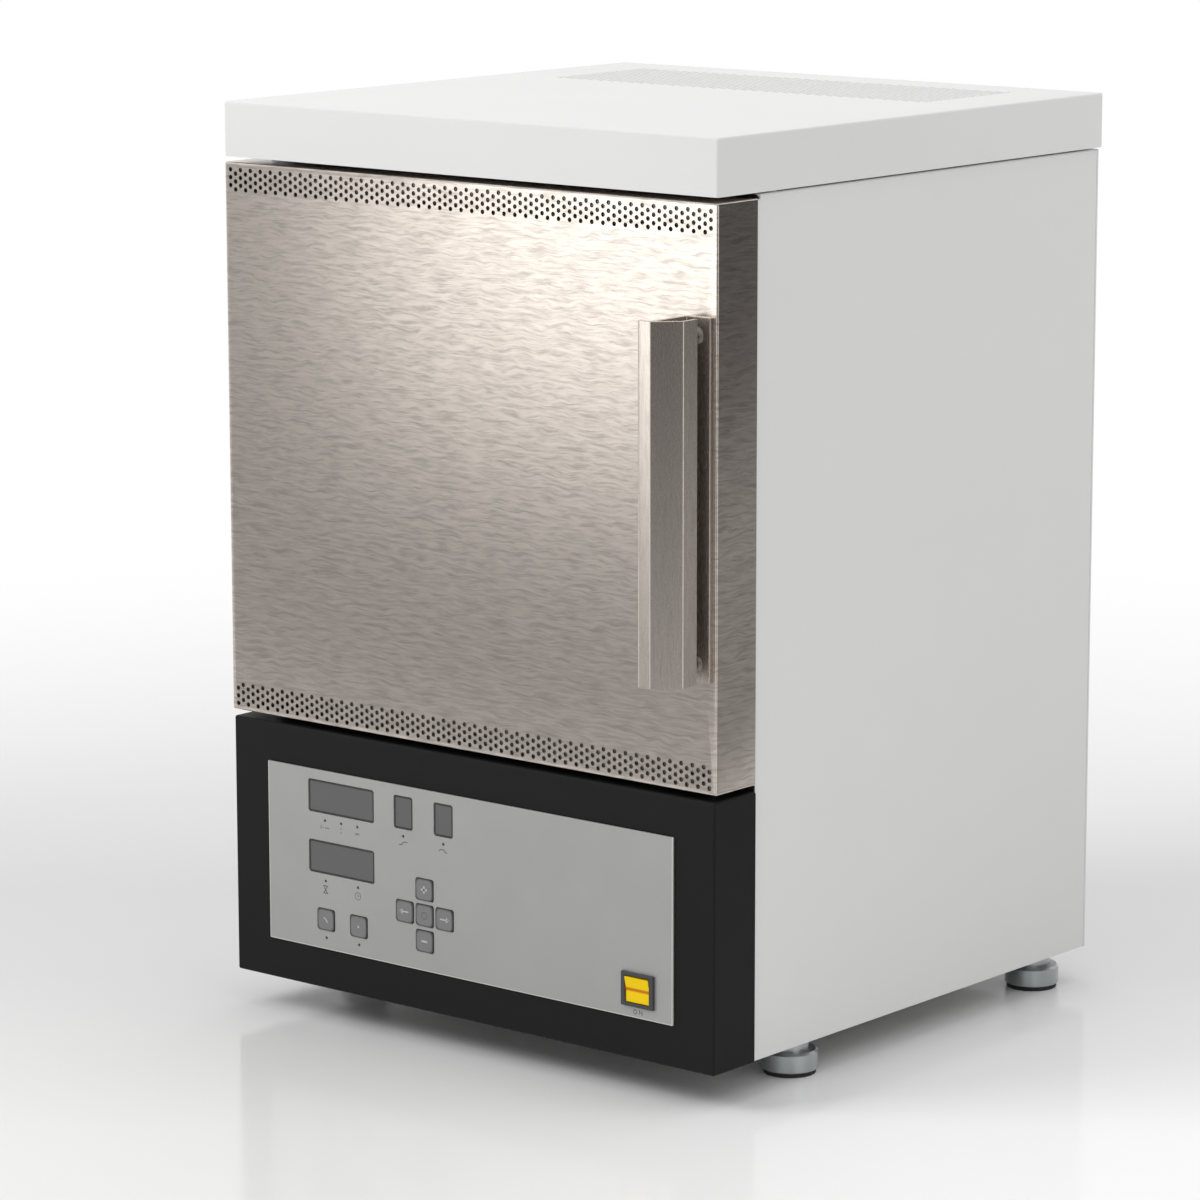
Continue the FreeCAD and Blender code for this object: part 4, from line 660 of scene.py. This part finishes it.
def make_materials():
    return {
        "white_powder_coat": powder_coat("white_powder_coat", WHITE),
        "black_powder_coat": powder_coat("black_powder_coat", BLACK, 1300, 0.00006, 0.5, shine=0.12),
        "brushed_steel": brushed("brushed_steel", STEEL),
        "brushed_profile": brushed("brushed_profile", STEEL, True, 0.26, streak=0.45, metallic=0.93),
        "plain_steel": plain_metal("plain_steel", (0.60, 0.60, 0.59), 0.34),
        # the screws get painted shade in their sockets
        "bright_steel": plain_metal("bright_steel", (0.24, 0.22, 0.2), 0.4, metallic=0.7, shade_reach=0.004),
        "foot_metal": plain_metal("foot_metal", (0.51, 0.535, 0.545), 0.3),
        "foot_rubber": moulded("foot_rubber", (0.02, 0.02, 0.02), 0.7),
        "panel_metal": panel_plate("panel_metal", (0.435, 0.435, 0.43)),
        "conductor": plain_metal("conductor", (0.80, 0.80, 0.80), 0.35),
        "sink_metal": plain_metal("sink_metal", (0.62, 0.63, 0.64), 0.4),
        "display_filter": moulded("display_filter", (0.02, 0.02, 0.02), 0.25, coat=0.4),
        "lens_plastic": moulded("lens_plastic", (0.015, 0.015, 0.015), 0.2, coat=0.5),
        "key_plastic": key_cap("key_plastic", (0.2, 0.2, 0.2)),
        "switch_yellow": rocker_plastic("switch_yellow", (1.0, 0.68, 0.0)),
        "black_plastic": moulded("black_plastic", (0.05, 0.05, 0.055), 0.4),
        "pale_plastic": moulded("pale_plastic", (0.52, 0.52, 0.49), 0.5),
        "board_green": moulded("board_green", (0.02, 0.15, 0.06), 0.3, coat=0.5),
        "winding_tape": moulded("winding_tape", (0.72, 0.50, 0.10), 0.4, 400, 0.0002),
        "fibre_board": fibrous("fibre_board", (0.84, 0.83, 0.80)),
        "fired_ceramic": moulded("fired_ceramic", (0.78, 0.75, 0.68), 0.7, 1500, 0.00008),
        "element_dark": plain_metal("element_dark", (0.10, 0.09, 0.085), 0.3, 200, 0.4),
        "seal_rope": fibrous("seal_rope", (0.72, 0.70, 0.64), 1800, 0.0004),
        "magnet_metal": plain_metal("magnet_metal", (0.5, 0.5, 0.5), 0.25),
        "display_face": hatched("display_face", (0.12, 0.12, 0.12)),
        "sign_ink": moulded("sign_ink", (0.12, 0.12, 0.12), 0.6),
        "sign_light": moulded("sign_light", (0.52, 0.52, 0.52), 0.5),
    }


def dress_nodes(materials):
    """Give each CAD node the material of its slot."""
    for entry in frame["record"]["subparts"]:
        node = frame["nodes"][entry["node"]]
        node.data.materials.clear()
        node.data.materials.append(materials[entry["material_slot"]])


# Pieces that stand for CAD nodes, or lie on them

def door_hole_rings(low, high):
    """Rings of the two perforated strips on the door's face, in metres."""
    centre = (low.x + high.x) / 2
    radius = DOOR_HOLE / 2 * MM
    rings = []
    for column in range(-DOOR_HOLE_COLUMNS, DOOR_HOLE_COLUMNS + 1):
        shift = 0 if (column - DOOR_HOLE_COLUMNS) % 2 == 0 else HOLE_ROW / 2
        for row in range(DOOR_HOLE_ROWS):
            rise = shift + row * HOLE_ROW
            across = centre + column * HOLE_COLUMN * MM
            rings.append(circle(across, low.z + (DOOR_LOW_MARGIN + rise) * MM, radius, 12))
            rings.append(circle(across, high.z - (DOOR_TOP_MARGIN + rise) * MM, radius, 12))
    return rings


def door_shell(material):
    """The folded door with its round perforations and the two holes of the handle's screws."""
    low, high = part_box("door_skin")
    holes = door_hole_rings(low, high)
    screw_low, screw_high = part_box("handle_screws")
    across = (screw_low.x + screw_high.x) / 2
    radius = SCREW_HOLE * MM
    inset = (screw_high.x - screw_low.x) / 2
    for up in (screw_low.z + inset, screw_high.z - inset):
        holes.append(circle(across, up, radius, 20))

    def place(across, up, inward):
        return Vector((across, low.y + inward, up))
    points, faces = folded_tray((low.x, low.z), (high.x, high.z), high.y - low.y,
                                DOOR_SHEET * MM, DOOR_FOLD * MM, holes, place)
    mesh = finish_mesh("door_shell", points, faces)
    return add_piece("door_shell", mesh, material, "door", "brushed_steel", "door_skin")


def lid_shell(material):
    """The folded lid with its field of round vent holes near the back."""
    low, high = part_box("top_cover")
    radius = LID_HOLE / 2 * MM
    centre = (low.x + high.x) / 2
    half = (high.x - low.x) / 2 - LID_FIELD_SIDE * MM
    columns = int(half / (HOLE_COLUMN * MM))
    start = low.y + LID_FIELD_FRONT * MM
    rows = int((high.y - LID_FIELD_BACK * MM - start) / (HOLE_ROW * MM))
    holes = []
    for column in range(-columns, columns + 1):
        shift = HOLE_ROW / 2 if column % 2 else 0
        for row in range(rows):
            spot = (centre + column * HOLE_COLUMN * MM, start + (row * HOLE_ROW + shift) * MM)
            holes.append(circle(*spot, radius, 8))
    lip = LID_LIP * MM
    lips = ((low.x + lip, low.y + LID_FRONT_LIP * MM), (high.x - lip, high.y - lip))

    def place(across, up, inward):
        return Vector((across, up, high.z - inward))
    points, faces = folded_tray((low.x, low.y), (high.x, high.y), high.z - low.z,
                                LID_SHEET * MM, LID_FOLD * MM, holes, place, lips)
    mesh = finish_mesh("lid_shell", points, faces)
    return add_piece("lid_shell", mesh, material, "case", "white_powder_coat", "top_cover")


def foot_shells(material):
    """Four turned feet with a chamfered shoulder and a thinner neck."""
    low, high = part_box("feet")
    radius = FOOT_RADIUS * MM
    edge = FOOT_EDGE * MM
    slope = FOOT_SHOULDER * MM
    neck = FOOT_NECK_RADIUS * MM
    stud = FOOT_STUD_RADIUS * MM
    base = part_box("base_plate")[0].z
    shoulder = base - FOOT_NECK * MM
    profile = [(radius - edge, low.z), (radius, low.z + edge), (radius, shoulder - slope),
               (radius - slope, shoulder), (neck, shoulder), (neck, base), (stud, base),
               (stud, high.z)]
    shapes = []
    for x in (low.x + radius, high.x - radius):
        for y in (low.y + radius, high.y - radius):
            shapes.append(lathe(profile, Vector((x, y)), 48))
    mesh = finish_mesh("foot_shells", *join_shapes(shapes), smooth_below=30)
    return add_piece("foot_shells", mesh, material, "case", "foot_metal", "feet")


def element_rods(material):
    """The heating elements as smooth bent rods under thick terminals."""
    low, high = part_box("heating_elements")
    thick = TERMINAL_RADIUS * MM
    thin = ELEMENT_RADIUS * MM
    reach = ELEMENT_REACH * MM
    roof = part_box("element_holders")[0].z
    wide_end = roof - TAPER_START * MM
    thin_end = roof - TAPER_END * MM
    steps = 12
    shapes = []
    for x in (low.x + thick, high.x - thick):
        for y in (low.y + thick + reach, high.y - thick - reach):
            bend = low.z + reach + thin
            path = [Vector((x, y - reach, up)) for up in (high.z, wide_end, thin_end)]
            radii = [thick, thick, thin]
            for step in range(steps + 1):
                turn = math.pi + math.pi * step / steps
                path.append(Vector((x, y + reach * math.cos(turn), bend + reach * math.sin(turn))))
                radii.append(thin)
            path += [Vector((x, y + reach, up)) for up in (thin_end, wide_end, high.z)]
            radii += [thin, thick, thick]
            shapes.append(rod(path, radii, 20))
    mesh = finish_mesh("element_rods", *join_shapes(shapes))
    return add_piece("element_rods", mesh, material, "case", "element_dark", "heating_elements")


def handle_profile(material):
    """The drawn handle: a base on the door, a web, and a bevelled grip with a lip."""
    low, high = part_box("door_handle")
    right = high.x / MM
    face = high.y / MM
    front = low.y / MM
    left = right - HANDLE_BASE
    grip = right - HANDLE_STEP
    strip = grip - HANDLE_BEVEL
    inner_turn = front + HANDLE_BEVEL + HANDLE_WALL * math.tan(math.radians(22.5))
    edge = right + HANDLE_FLANGE
    outline = [(edge, face), (edge, face - HANDLE_WALL), (left + HANDLE_WALL, face - HANDLE_WALL),
               (left + HANDLE_WALL, front + HANDLE_WALL + HANDLE_TOE), (grip - HANDLE_WALL, inner_turn),
               (grip - HANDLE_WALL, face - HANDLE_SLOT), (grip, face - HANDLE_SLOT),
               (grip, front + HANDLE_BEVEL), (strip, front), (low.x / MM, front),
               (low.x / MM, front + HANDLE_WALL), (left, front + HANDLE_WALL), (left, face)]
    radii = [0, 0.3, 0.6, 0.6, 0.6, 0.3, 0.3, 1.5, 1.2, 2.6, 0.3, 0.6, 0]
    ring = round_corners(outline, radii)
    count = len(ring)
    points = [Vector((spot.x * MM, spot.y * MM, up)) for up in (low.z, high.z) for spot in ring]
    faces = [[step, (step + 1) % count, count + (step + 1) % count, count + step]
             for step in range(count)]
    faces += [list(range(count)), list(range(count, 2 * count))]
    mesh = finish_mesh("handle_profile", points, faces, smooth_below=24)
    return add_piece("handle_profile", mesh, material, "door", "brushed_profile", "door_handle")


def guard_wires(material):
    """The fan's guard as two round wire hoops and a cross."""
    low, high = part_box("fan_guard")
    centre = (low + high) / 2
    wire = (high.y - low.y) / 2
    reach = (high.x - low.x) / 2 - wire
    upright = rod([centre - Vector((0, 0, reach)), centre + Vector((0, 0, reach))], [wire, wire], 10)
    level = ([Vector((centre.x + point.z - centre.z, point.y, centre.z + point.x - centre.x))
              for point in upright[0]], upright[1])
    shapes = [hoop(centre, reach, wire), hoop(centre, reach - GUARD_PITCH * MM, wire), upright, level]
    mesh = finish_mesh("guard_wires", *join_shapes(shapes), smooth_below=50)
    return add_piece("guard_wires", mesh, material, "case", GUARD_SLOT, "fan_guard")


def socket_shade(material):
    """Dark hexagons set in the handle's screws as painted shade for their sockets."""
    low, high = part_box("handle_screws")
    head = (high.x - low.x) / 2
    across = (low.x + high.x) / 2
    depth = low.y + (SCREW_SOLID_HEAD - SCREW_HEAD + SCREW_SOCKET_DEPTH) * MM
    shapes = []
    for up in (low.z + head, high.z - head):
        points = [Vector((x, y, z)) for y in (depth, depth + 1 * MM)
                  for x, z in circle(across, up, SCREW_SOCKET * MM, 6)]
        faces = [[step, (step + 1) % 6, 6 + (step + 1) % 6, 6 + step] for step in range(6)]
        faces += [list(range(6)), list(range(6, 12))]
        shapes.append((points, faces))
    mesh = finish_mesh("socket_shade", *join_shapes(shapes))
    return add_piece("socket_shade", mesh, material, "door", None)


def cap_screws(material):
    """The handle's screws, with button heads in place of the solids' cap heads."""
    low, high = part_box("handle_screws")
    head = (high.x - low.x) / 2
    across = (low.x + high.x) / 2
    shapes = []
    rim = (SCREW_SOLID_HEAD - SCREW_HEAD) * MM
    seat = SCREW_SOLID_HEAD * MM
    side = head - 0.1 * MM
    shank = SCREW_SHANK * MM
    profile = [(2.0 * MM, rim + 1 * MM), (2.0 * MM, rim), (2.8 * MM, rim), (3.8 * MM, rim + 0.5 * MM),
               (4.5 * MM, rim + 1.3 * MM), (side, seat - 0.6 * MM), (side, seat),
               (shank, seat), (shank, high.y - low.y)]
    for up in (low.z + head, high.z - head):
        points, faces = lathe(profile, Vector((0, 0)), 32)
        turned = [Vector((across + point.x, low.y + point.z, up + point.y)) for point in points]
        shapes.append((turned, faces))
    mesh = finish_mesh("cap_screws", *join_shapes(shapes), smooth_below=30)
    return add_piece("cap_screws", mesh, material, "door", "bright_steel", "handle_screws")


def display_faces(material):
    """The grey faces behind the dark rims of the four displays."""
    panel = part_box("control_panel")[0]
    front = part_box("display_windows")[0].y
    shapes = []
    for across, up, width in DISPLAYS:
        half = (width / 2 - DISPLAY_RIM - FACE_GAP) * MM
        rise = (DISPLAY_HEIGHT / 2 - DISPLAY_RIM - FACE_GAP) * MM
        x = panel.x + across * MM
        z = panel.z + up * MM
        ring = rounded_ring((x - half, z - rise), (x + half, z + rise), FACE_GAP * MM, 3)
        count = len(ring)
        points = [Vector((spot[0], depth, spot[1])) for depth in (front, front - FACE_RISE * MM)
                  for spot in ring]
        faces = [[step, (step + 1) % count, count + (step + 1) % count, count + step]
                 for step in range(count)]
        faces.append([count + step for step in range(count)])
        shapes.append((points, faces))
    mesh = finish_mesh("display_faces", *join_shapes(shapes))
    return add_piece("display_faces", mesh, material, "case", "display_filter")


def sign_place(centre_x, centre_z, front):
    """A place function for signs in millimetres about a centre, raised towards the front."""
    def place(across, up, lift):
        return Vector((centre_x + across * MM, front - lift * MM, centre_z + up * MM))
    return place


def panel_signs(material):
    """Small printed signs on the panel: marks under the displays, and ON under the switch."""
    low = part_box("control_panel")[0]
    switch = middle("switch_bezel")
    signs = []

    def add(across, up, lines, width=0.6):
        place = sign_place(low.x + across * MM, low.z + up * MM, low.y)
        for line, closed in lines:
            signs.append(stroke(line, width, place, SIGN_RISE, closed))

    wide = DISPLAYS[0][0]
    add(wide - SIGN_STEP, UPPER_SIGN, [([(-3.4, -1), (-3.4, 1.1)], False), ([(-2.0, 0), (-1.2, 0)], False),
                                       ([(0, 0), (3.4, 0)], False)])
    add(wide, UPPER_SIGN, [([(-0.4, 1.3), (0.4, 1.3)], False), ([(-0.4, -1.3), (0.4, -1.3)], False)], 0.8)
    add(wide + SIGN_STEP, UPPER_SIGN, [([(-1.8, 0.5), (-0.6, -0.5), (0.6, 0.5), (1.8, -0.5)], False)])
    add(DISPLAYS[2][0], UPPER_SIGN, [([(-3.6, -1.1), (-1.6, -1.1), (0.4, 1.0), (3.6, 1.0)], False)])
    add(DISPLAYS[3][0], UPPER_SIGN,
        [([(-3.4, -0.2), (-2.2, 1.0), (0.6, 1.0), (1.6, -0.6), (3.4, -0.6)], False)])
    glass = [(-1.7, 2.4), (1.7, 2.4), (-1.7, -2.4), (1.7, -2.4)]
    add(wide - SIGN_STEP, LOWER_SIGN, [(glass, True)])
    clock = circle(0, 0, 2.4, 16)
    add(wide + SIGN_STEP, LOWER_SIGN, [(clock, True), ([(0, 1.4), (0, 0), (1.0, 0)], False)], 0.4)
    place = sign_place(switch.x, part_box("switch_bezel")[0].z - 3.4 * MM, low.y)
    letters = [([(-3.2, -1.3), (-2.2, -1.3), (-1.5, -0.6), (-1.5, 0.6), (-2.2, 1.3), (-3.2, 1.3),
                 (-3.9, 0.6), (-3.9, -0.6)], True),
               ([(0.6, -1.3), (0.6, 1.3), (2.8, -1.3), (2.8, 1.3)], False)]
    for line, closed in letters:
        signs.append(stroke(line, 0.5, place, SIGN_RISE, closed))
    mesh = finish_mesh("panel_signs", *join_shapes(signs))
    return add_piece("panel_signs", mesh, material, "case", None)


KEY_SIGNS = {
    "key_one": [([(-1.6, 1.4), (0.2, 0.2), (1.6, -1.6)], False)],
    "key_two": [([(-0.5, 0.5), (0.5, -0.5)], False)],
    "key_up": [([(-2.4, 0), (2.4, 0)], False), ([(0, -2.4), (0, 2.4)], False)],
    "key_left": [([(3.4, 0), (-3.2, 0)], False), ([(-1.6, 1.4), (-3.4, 0), (-1.6, -1.4)], False)],
    "key_enter": [(circle(0, 0, 2.2, 14), True)],
    "key_right": [([(-3.4, 0), (3.2, 0)], False), ([(1.6, 1.4), (3.4, 0), (1.6, -1.4)], False)],
    "key_down": [([(-2.4, 0), (2.4, 0)], False)],
}


def key_signs(light, dark):
    """A sign on each key: pale and bold, but thin and dark on the middle one."""
    for key, lines in KEY_SIGNS.items():
        centre = middle(key)
        place = sign_place(centre.x, centre.z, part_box(key)[0].y)
        faint = key == "key_enter"
        width = 1.3 if key in ("key_two", "key_down", "key_up") else 0.4 if faint else 0.9
        signs = [stroke(line, width, place, SIGN_RISE, closed) for line, closed in lines]
        mesh = finish_mesh(key + "_sign", *join_shapes(signs))
        add_piece(key + "_sign", mesh, dark if faint else light, key + "_cap", None)


def soften(node, width, segments=2, angle=30):
    """Weld a CAD node's faces and round their edges, in modifiers alone."""
    piece = frame["nodes"][node]
    weld = piece.modifiers.new("weld", "WELD")
    weld.merge_threshold = 0.000001
    bevel = piece.modifiers.new("bevel", "BEVEL")
    bevel.width = width * MM
    bevel.segments = segments
    bevel.limit_method = "ANGLE"
    bevel.angle_limit = math.radians(angle)
    level = piece.modifiers.new("level", "WEIGHTED_NORMAL")
    level.weight = 100
    level.keep_sharp = True


def make_pieces(materials):
    door_shell(materials["brushed_steel"])
    lid_shell(materials["white_powder_coat"])
    foot_shells(materials["foot_metal"])
    element_rods(materials["element_dark"])
    handle_profile(materials["brushed_profile"])
    cap_screws(materials["bright_steel"])
    # black hexagons as painted shade in the screws' sockets
    socket_shade(materials["foot_rubber"])
    guard_wires(materials[GUARD_SLOT])
    display_faces(materials["display_face"])
    panel_signs(materials["sign_ink"])
    key_signs(materials["sign_light"], materials["sign_ink"])
    for node in ("console_housing", "switch_bezel", "left_side_panel", "right_side_panel"):
        soften(node, 0.8)
    for node in ("control_panel", "display_windows", "power_rocker", *KEY_SIGNS):
        soften(node, 0.3)


# Stage, lights and camera

AMBIENT = 0.66
FLOOR_HALF = 40
FLOOR_NEAR = 0.5
FLOOR_WHITE = 1.7

# The floor's tone runs along and across the photograph's view, by the cosine and sine of its azimuth
VIEW_COSINE = 0.77
VIEW_SINE = 0.64

# Cards that only mirrors see
CARD_FOOT = 0.002
CARD_TOP = 0.62
SIDE_CARD_TOP = 0.85
FRONT_CARD_LEFT = -0.95
FRONT_CARD_GLOW = 1.9
FRONT_CARD_BASE = 0.385
FRONT_RAMP = 0.75


def floor_material():
    """A pale glossy floor that turns white away from the object, with painted shade near it: a darker band
    across the view and a darker side towards the view's left.
    """
    shader = Shader("floor")
    place = shader.place()
    distance = shader.node("ShaderNodeVectorMath", operation="LENGTH")
    shader.put(distance, 0, place)
    far = shader.node("ShaderNodeMapRange", interpolation_type="SMOOTHSTEP")
    shader.put(far, "Value", distance.outputs["Value"])
    shader.put(far, "From Min", FLOOR_NEAR)
    shader.put(far, "From Max", FLOOR_WHITE)
    across = shader.parts(place)
    depth = shader.math("ADD", shader.math("MULTIPLY", across["X"], -VIEW_SINE),
                        shader.math("MULTIPLY", across["Y"], VIEW_COSINE))
    # painted shadow: a darker band on the floor at middle depth along the view, about the object
    tone = shader.ramp(shader.math("MULTIPLY", shader.math("ADD", depth, 0.5), 0.4),
                       (0.0, 1.0), (0.08, 1.0), (0.16, 0.93), (0.22, 0.84), (0.31, 0.79),
                       (0.43, 0.83), (0.52, 0.89), (0.62, 0.93), (1.0, 1.0))
    # painted shade: the floor is painted darker towards the view's left
    side = shader.math("ADD", shader.math("MULTIPLY", across["X"], VIEW_COSINE),
                       shader.math("MULTIPLY", across["Y"], VIEW_SINE))
    shade = shader.ramp(shader.math("ADD", side, 0.5), (0.28, 0.88), (0.65, 1.0))
    shader.set(Base_Color=shader.mix(1.0, tone, shade, "MULTIPLY"), Roughness=0.12,
               Specular_IOR_Level=0.07)
    white = shader.node("ShaderNodeEmission")
    shader.put(white, "Color", (1, 1, 1))
    shader.put(white, "Strength", 1.0)
    path = shader.node("ShaderNodeLightPath").outputs
    seen = shader.math("MAXIMUM", path["Is Camera Ray"], path["Is Glossy Ray"])
    seen = shader.math("MAXIMUM", seen, path["Is Transmission Ray"])
    amount = shader.math("MULTIPLY", far.outputs["Result"], seen)
    blend = shader.node("ShaderNodeMixShader")
    shader.link(amount, blend.inputs[0])
    shader.link(shader.surface.outputs["BSDF"], blend.inputs[1])
    shader.link(white.outputs["Emission"], blend.inputs[2])
    shader.link(blend.outputs["Shader"], shader.output.inputs["Surface"])
    return shader.material


def make_floor():
    mesh = bpy.data.meshes.new("floor")
    corners = ((-FLOOR_HALF, -FLOOR_HALF), (FLOOR_HALF, -FLOOR_HALF),
               (FLOOR_HALF, FLOOR_HALF), (-FLOOR_HALF, FLOOR_HALF))
    mesh.from_pydata([(x, y, 0) for x, y in corners], [], [(0, 1, 2, 3)])
    floor = bpy.data.objects.new("floor", mesh)
    bpy.context.scene.collection.objects.link(floor)
    mesh.materials.append(floor_material())


def area_light(name, spot, target, size, power):
    """A rectangular soft light that faces a target and that mirrors don't see."""
    data = bpy.data.lights.new(name, "AREA")
    data.shape = "RECTANGLE"
    data.size, data.size_y = size
    data.energy = power
    light = bpy.data.objects.new(name, data)
    bpy.context.scene.collection.objects.link(light)
    light.location = spot
    light.rotation_euler = (Vector(target) - Vector(spot)).to_track_quat("-Z", "Y").to_euler()
    light.visible_glossy = False


def make_world():
    """White as seen directly or in a mirror, and dimmer as a light."""
    world = bpy.data.worlds.new("studio")
    bpy.context.scene.world = world
    world.use_nodes = True
    tree = world.node_tree
    tree.nodes.clear()
    output = tree.nodes.new("ShaderNodeOutputWorld")
    backgrounds = []
    for strength in (AMBIENT, 1.0):
        background = tree.nodes.new("ShaderNodeBackground")
        background.inputs["Color"].default_value = (1, 1, 1, 1)
        background.inputs["Strength"].default_value = strength
        backgrounds.append(background)
    path = tree.nodes.new("ShaderNodeLightPath")
    shown = path.outputs["Is Camera Ray"]
    for ray in ("Is Glossy Ray", "Is Transmission Ray"):
        either = tree.nodes.new("ShaderNodeMath")
        either.operation = "MAXIMUM"
        tree.links.new(shown, either.inputs[0])
        tree.links.new(path.outputs[ray], either.inputs[1])
        shown = either.outputs["Value"]
    blend = tree.nodes.new("ShaderNodeMixShader")
    tree.links.new(shown, blend.inputs[0])
    for socket, background in enumerate(backgrounds, 1):
        tree.links.new(background.outputs[0], blend.inputs[socket])
    tree.links.new(blend.outputs[0], output.inputs["Surface"])


def make_lights():
    aim = (0, 0, 0.3)
    area_light("key", (-1.6, -2.2, 2.4), aim, (1.6, 1.6), 41)
    area_light("top", (0.0, 0.3, 2.6), aim, (2.0, 2.0), 8)
    area_light("fill", (2.0, 0.9, 2.2), aim, (1.2, 1.2), 7)


def glow_card(name, start, end, top, level):
    """An upright card that only mirrors see; level gives its brightness from the shader's place."""
    mesh = bpy.data.meshes.new(name)
    mesh.from_pydata([(*start, CARD_FOOT), (*end, CARD_FOOT), (*end, top), (*start, top)],
                     [], [(0, 1, 2, 3)])
    card = bpy.data.objects.new(name, mesh)
    bpy.context.scene.collection.objects.link(card)
    shader = Shader(name)
    glow = shader.node("ShaderNodeEmission")
    shader.put(glow, "Color", (1, 1, 1))
    shader.put(glow, "Strength", level(shader, shader.parts(shader.place())))
    shader.link(glow.outputs["Emission"], shader.output.inputs["Surface"])
    mesh.materials.append(shader.material)
    card.visible_camera = False
    card.visible_diffuse = False
    card.visible_transmission = False
    card.visible_volume_scatter = False
    card.visible_shadow = False


def front_level(shader, spot):
    """Bright towards the door's upper right corner, dim to its left and below."""
    reach = shader.math("SUBTRACT", spot["X"], FRONT_CARD_LEFT)
    across = shader.ramp(shader.math("DIVIDE", reach, FRONT_RAMP),
                         (0.23, 0.0), (0.36, 0.07), (0.43, 0.38), (0.5, 0.62), (0.61, 0.86), (0.72, 1.0))
    upward = shader.ramp(shader.math("DIVIDE", spot["Z"], CARD_TOP),
                         (0.17, 0.0), (0.31, 0.06), (0.45, 0.32), (0.59, 0.72), (0.73, 1.0))
    glow = shader.math("MULTIPLY", across, upward)
    return shader.math("ADD", shader.math("MULTIPLY", glow, FRONT_CARD_GLOW), FRONT_CARD_BASE)


def side_level(shader, spot):
    """Dim, darker upwards, and fading out towards the back so that the floor shows no edge of it."""
    upward = shader.ramp(shader.math("DIVIDE", spot["Z"], CARD_TOP),
                         (0.0, 0.27), (0.4, 0.34), (0.68, 0.13), (1.0, 0.09))
    return shader.math("MAXIMUM", upward, shader.ramp(spot["Y"], (0.5, 0.0), (0.95, 1.0)))


def slant_level(shader, spot):
    """Darker upwards, for the handle's slanted face."""
    return shader.ramp(shader.math("DIVIDE", spot["Z"], CARD_TOP), (0.2, 0.4), (0.65, 0.05))


def make_cards():
    glow_card("front_card", (FRONT_CARD_LEFT, -0.78), (0.0, -0.78), CARD_TOP, front_level)
    glow_card("side_card", (0.57, -0.06), (0.57, 1.0), SIDE_CARD_TOP, side_level)
    glow_card("slant_card", (0.45, -0.78), (0.75, -0.41), CARD_TOP, slant_level)


def make_camera():
    """A camera on the photograph's view, from the values fitted to it."""
    data = bpy.data.cameras.new("camera")
    camera = bpy.data.objects.new("camera", data)
    bpy.context.scene.collection.objects.link(camera)
    data.sensor_width = SENSOR_MM
    data.lens = FOCAL_PIXELS / FRAME_PIXELS * SENSOR_MM
    data.clip_start = 0.05
    data.clip_end = 200
    azimuth = math.radians(CAMERA_AZIMUTH)
    elevation = math.radians(CAMERA_ELEVATION)
    back = Vector((math.sin(azimuth) * math.cos(elevation),
                   -math.cos(azimuth) * math.cos(elevation), math.sin(elevation)))
    turn = back.to_track_quat("Z", "Y").to_matrix().to_4x4()
    roll = Matrix.Rotation(math.radians(CAMERA_ROLL), 4, "Z")
    camera.matrix_world = Matrix.Translation(CAMERA_AIM + back * CAMERA_DISTANCE) @ turn @ roll
    bpy.context.scene.camera = camera


materials = make_materials()
dress_nodes(materials)
make_pieces(materials)
make_floor()
make_world()
make_lights()
make_cards()
make_camera()
bpy.context.scene.view_settings.view_transform = "Standard"
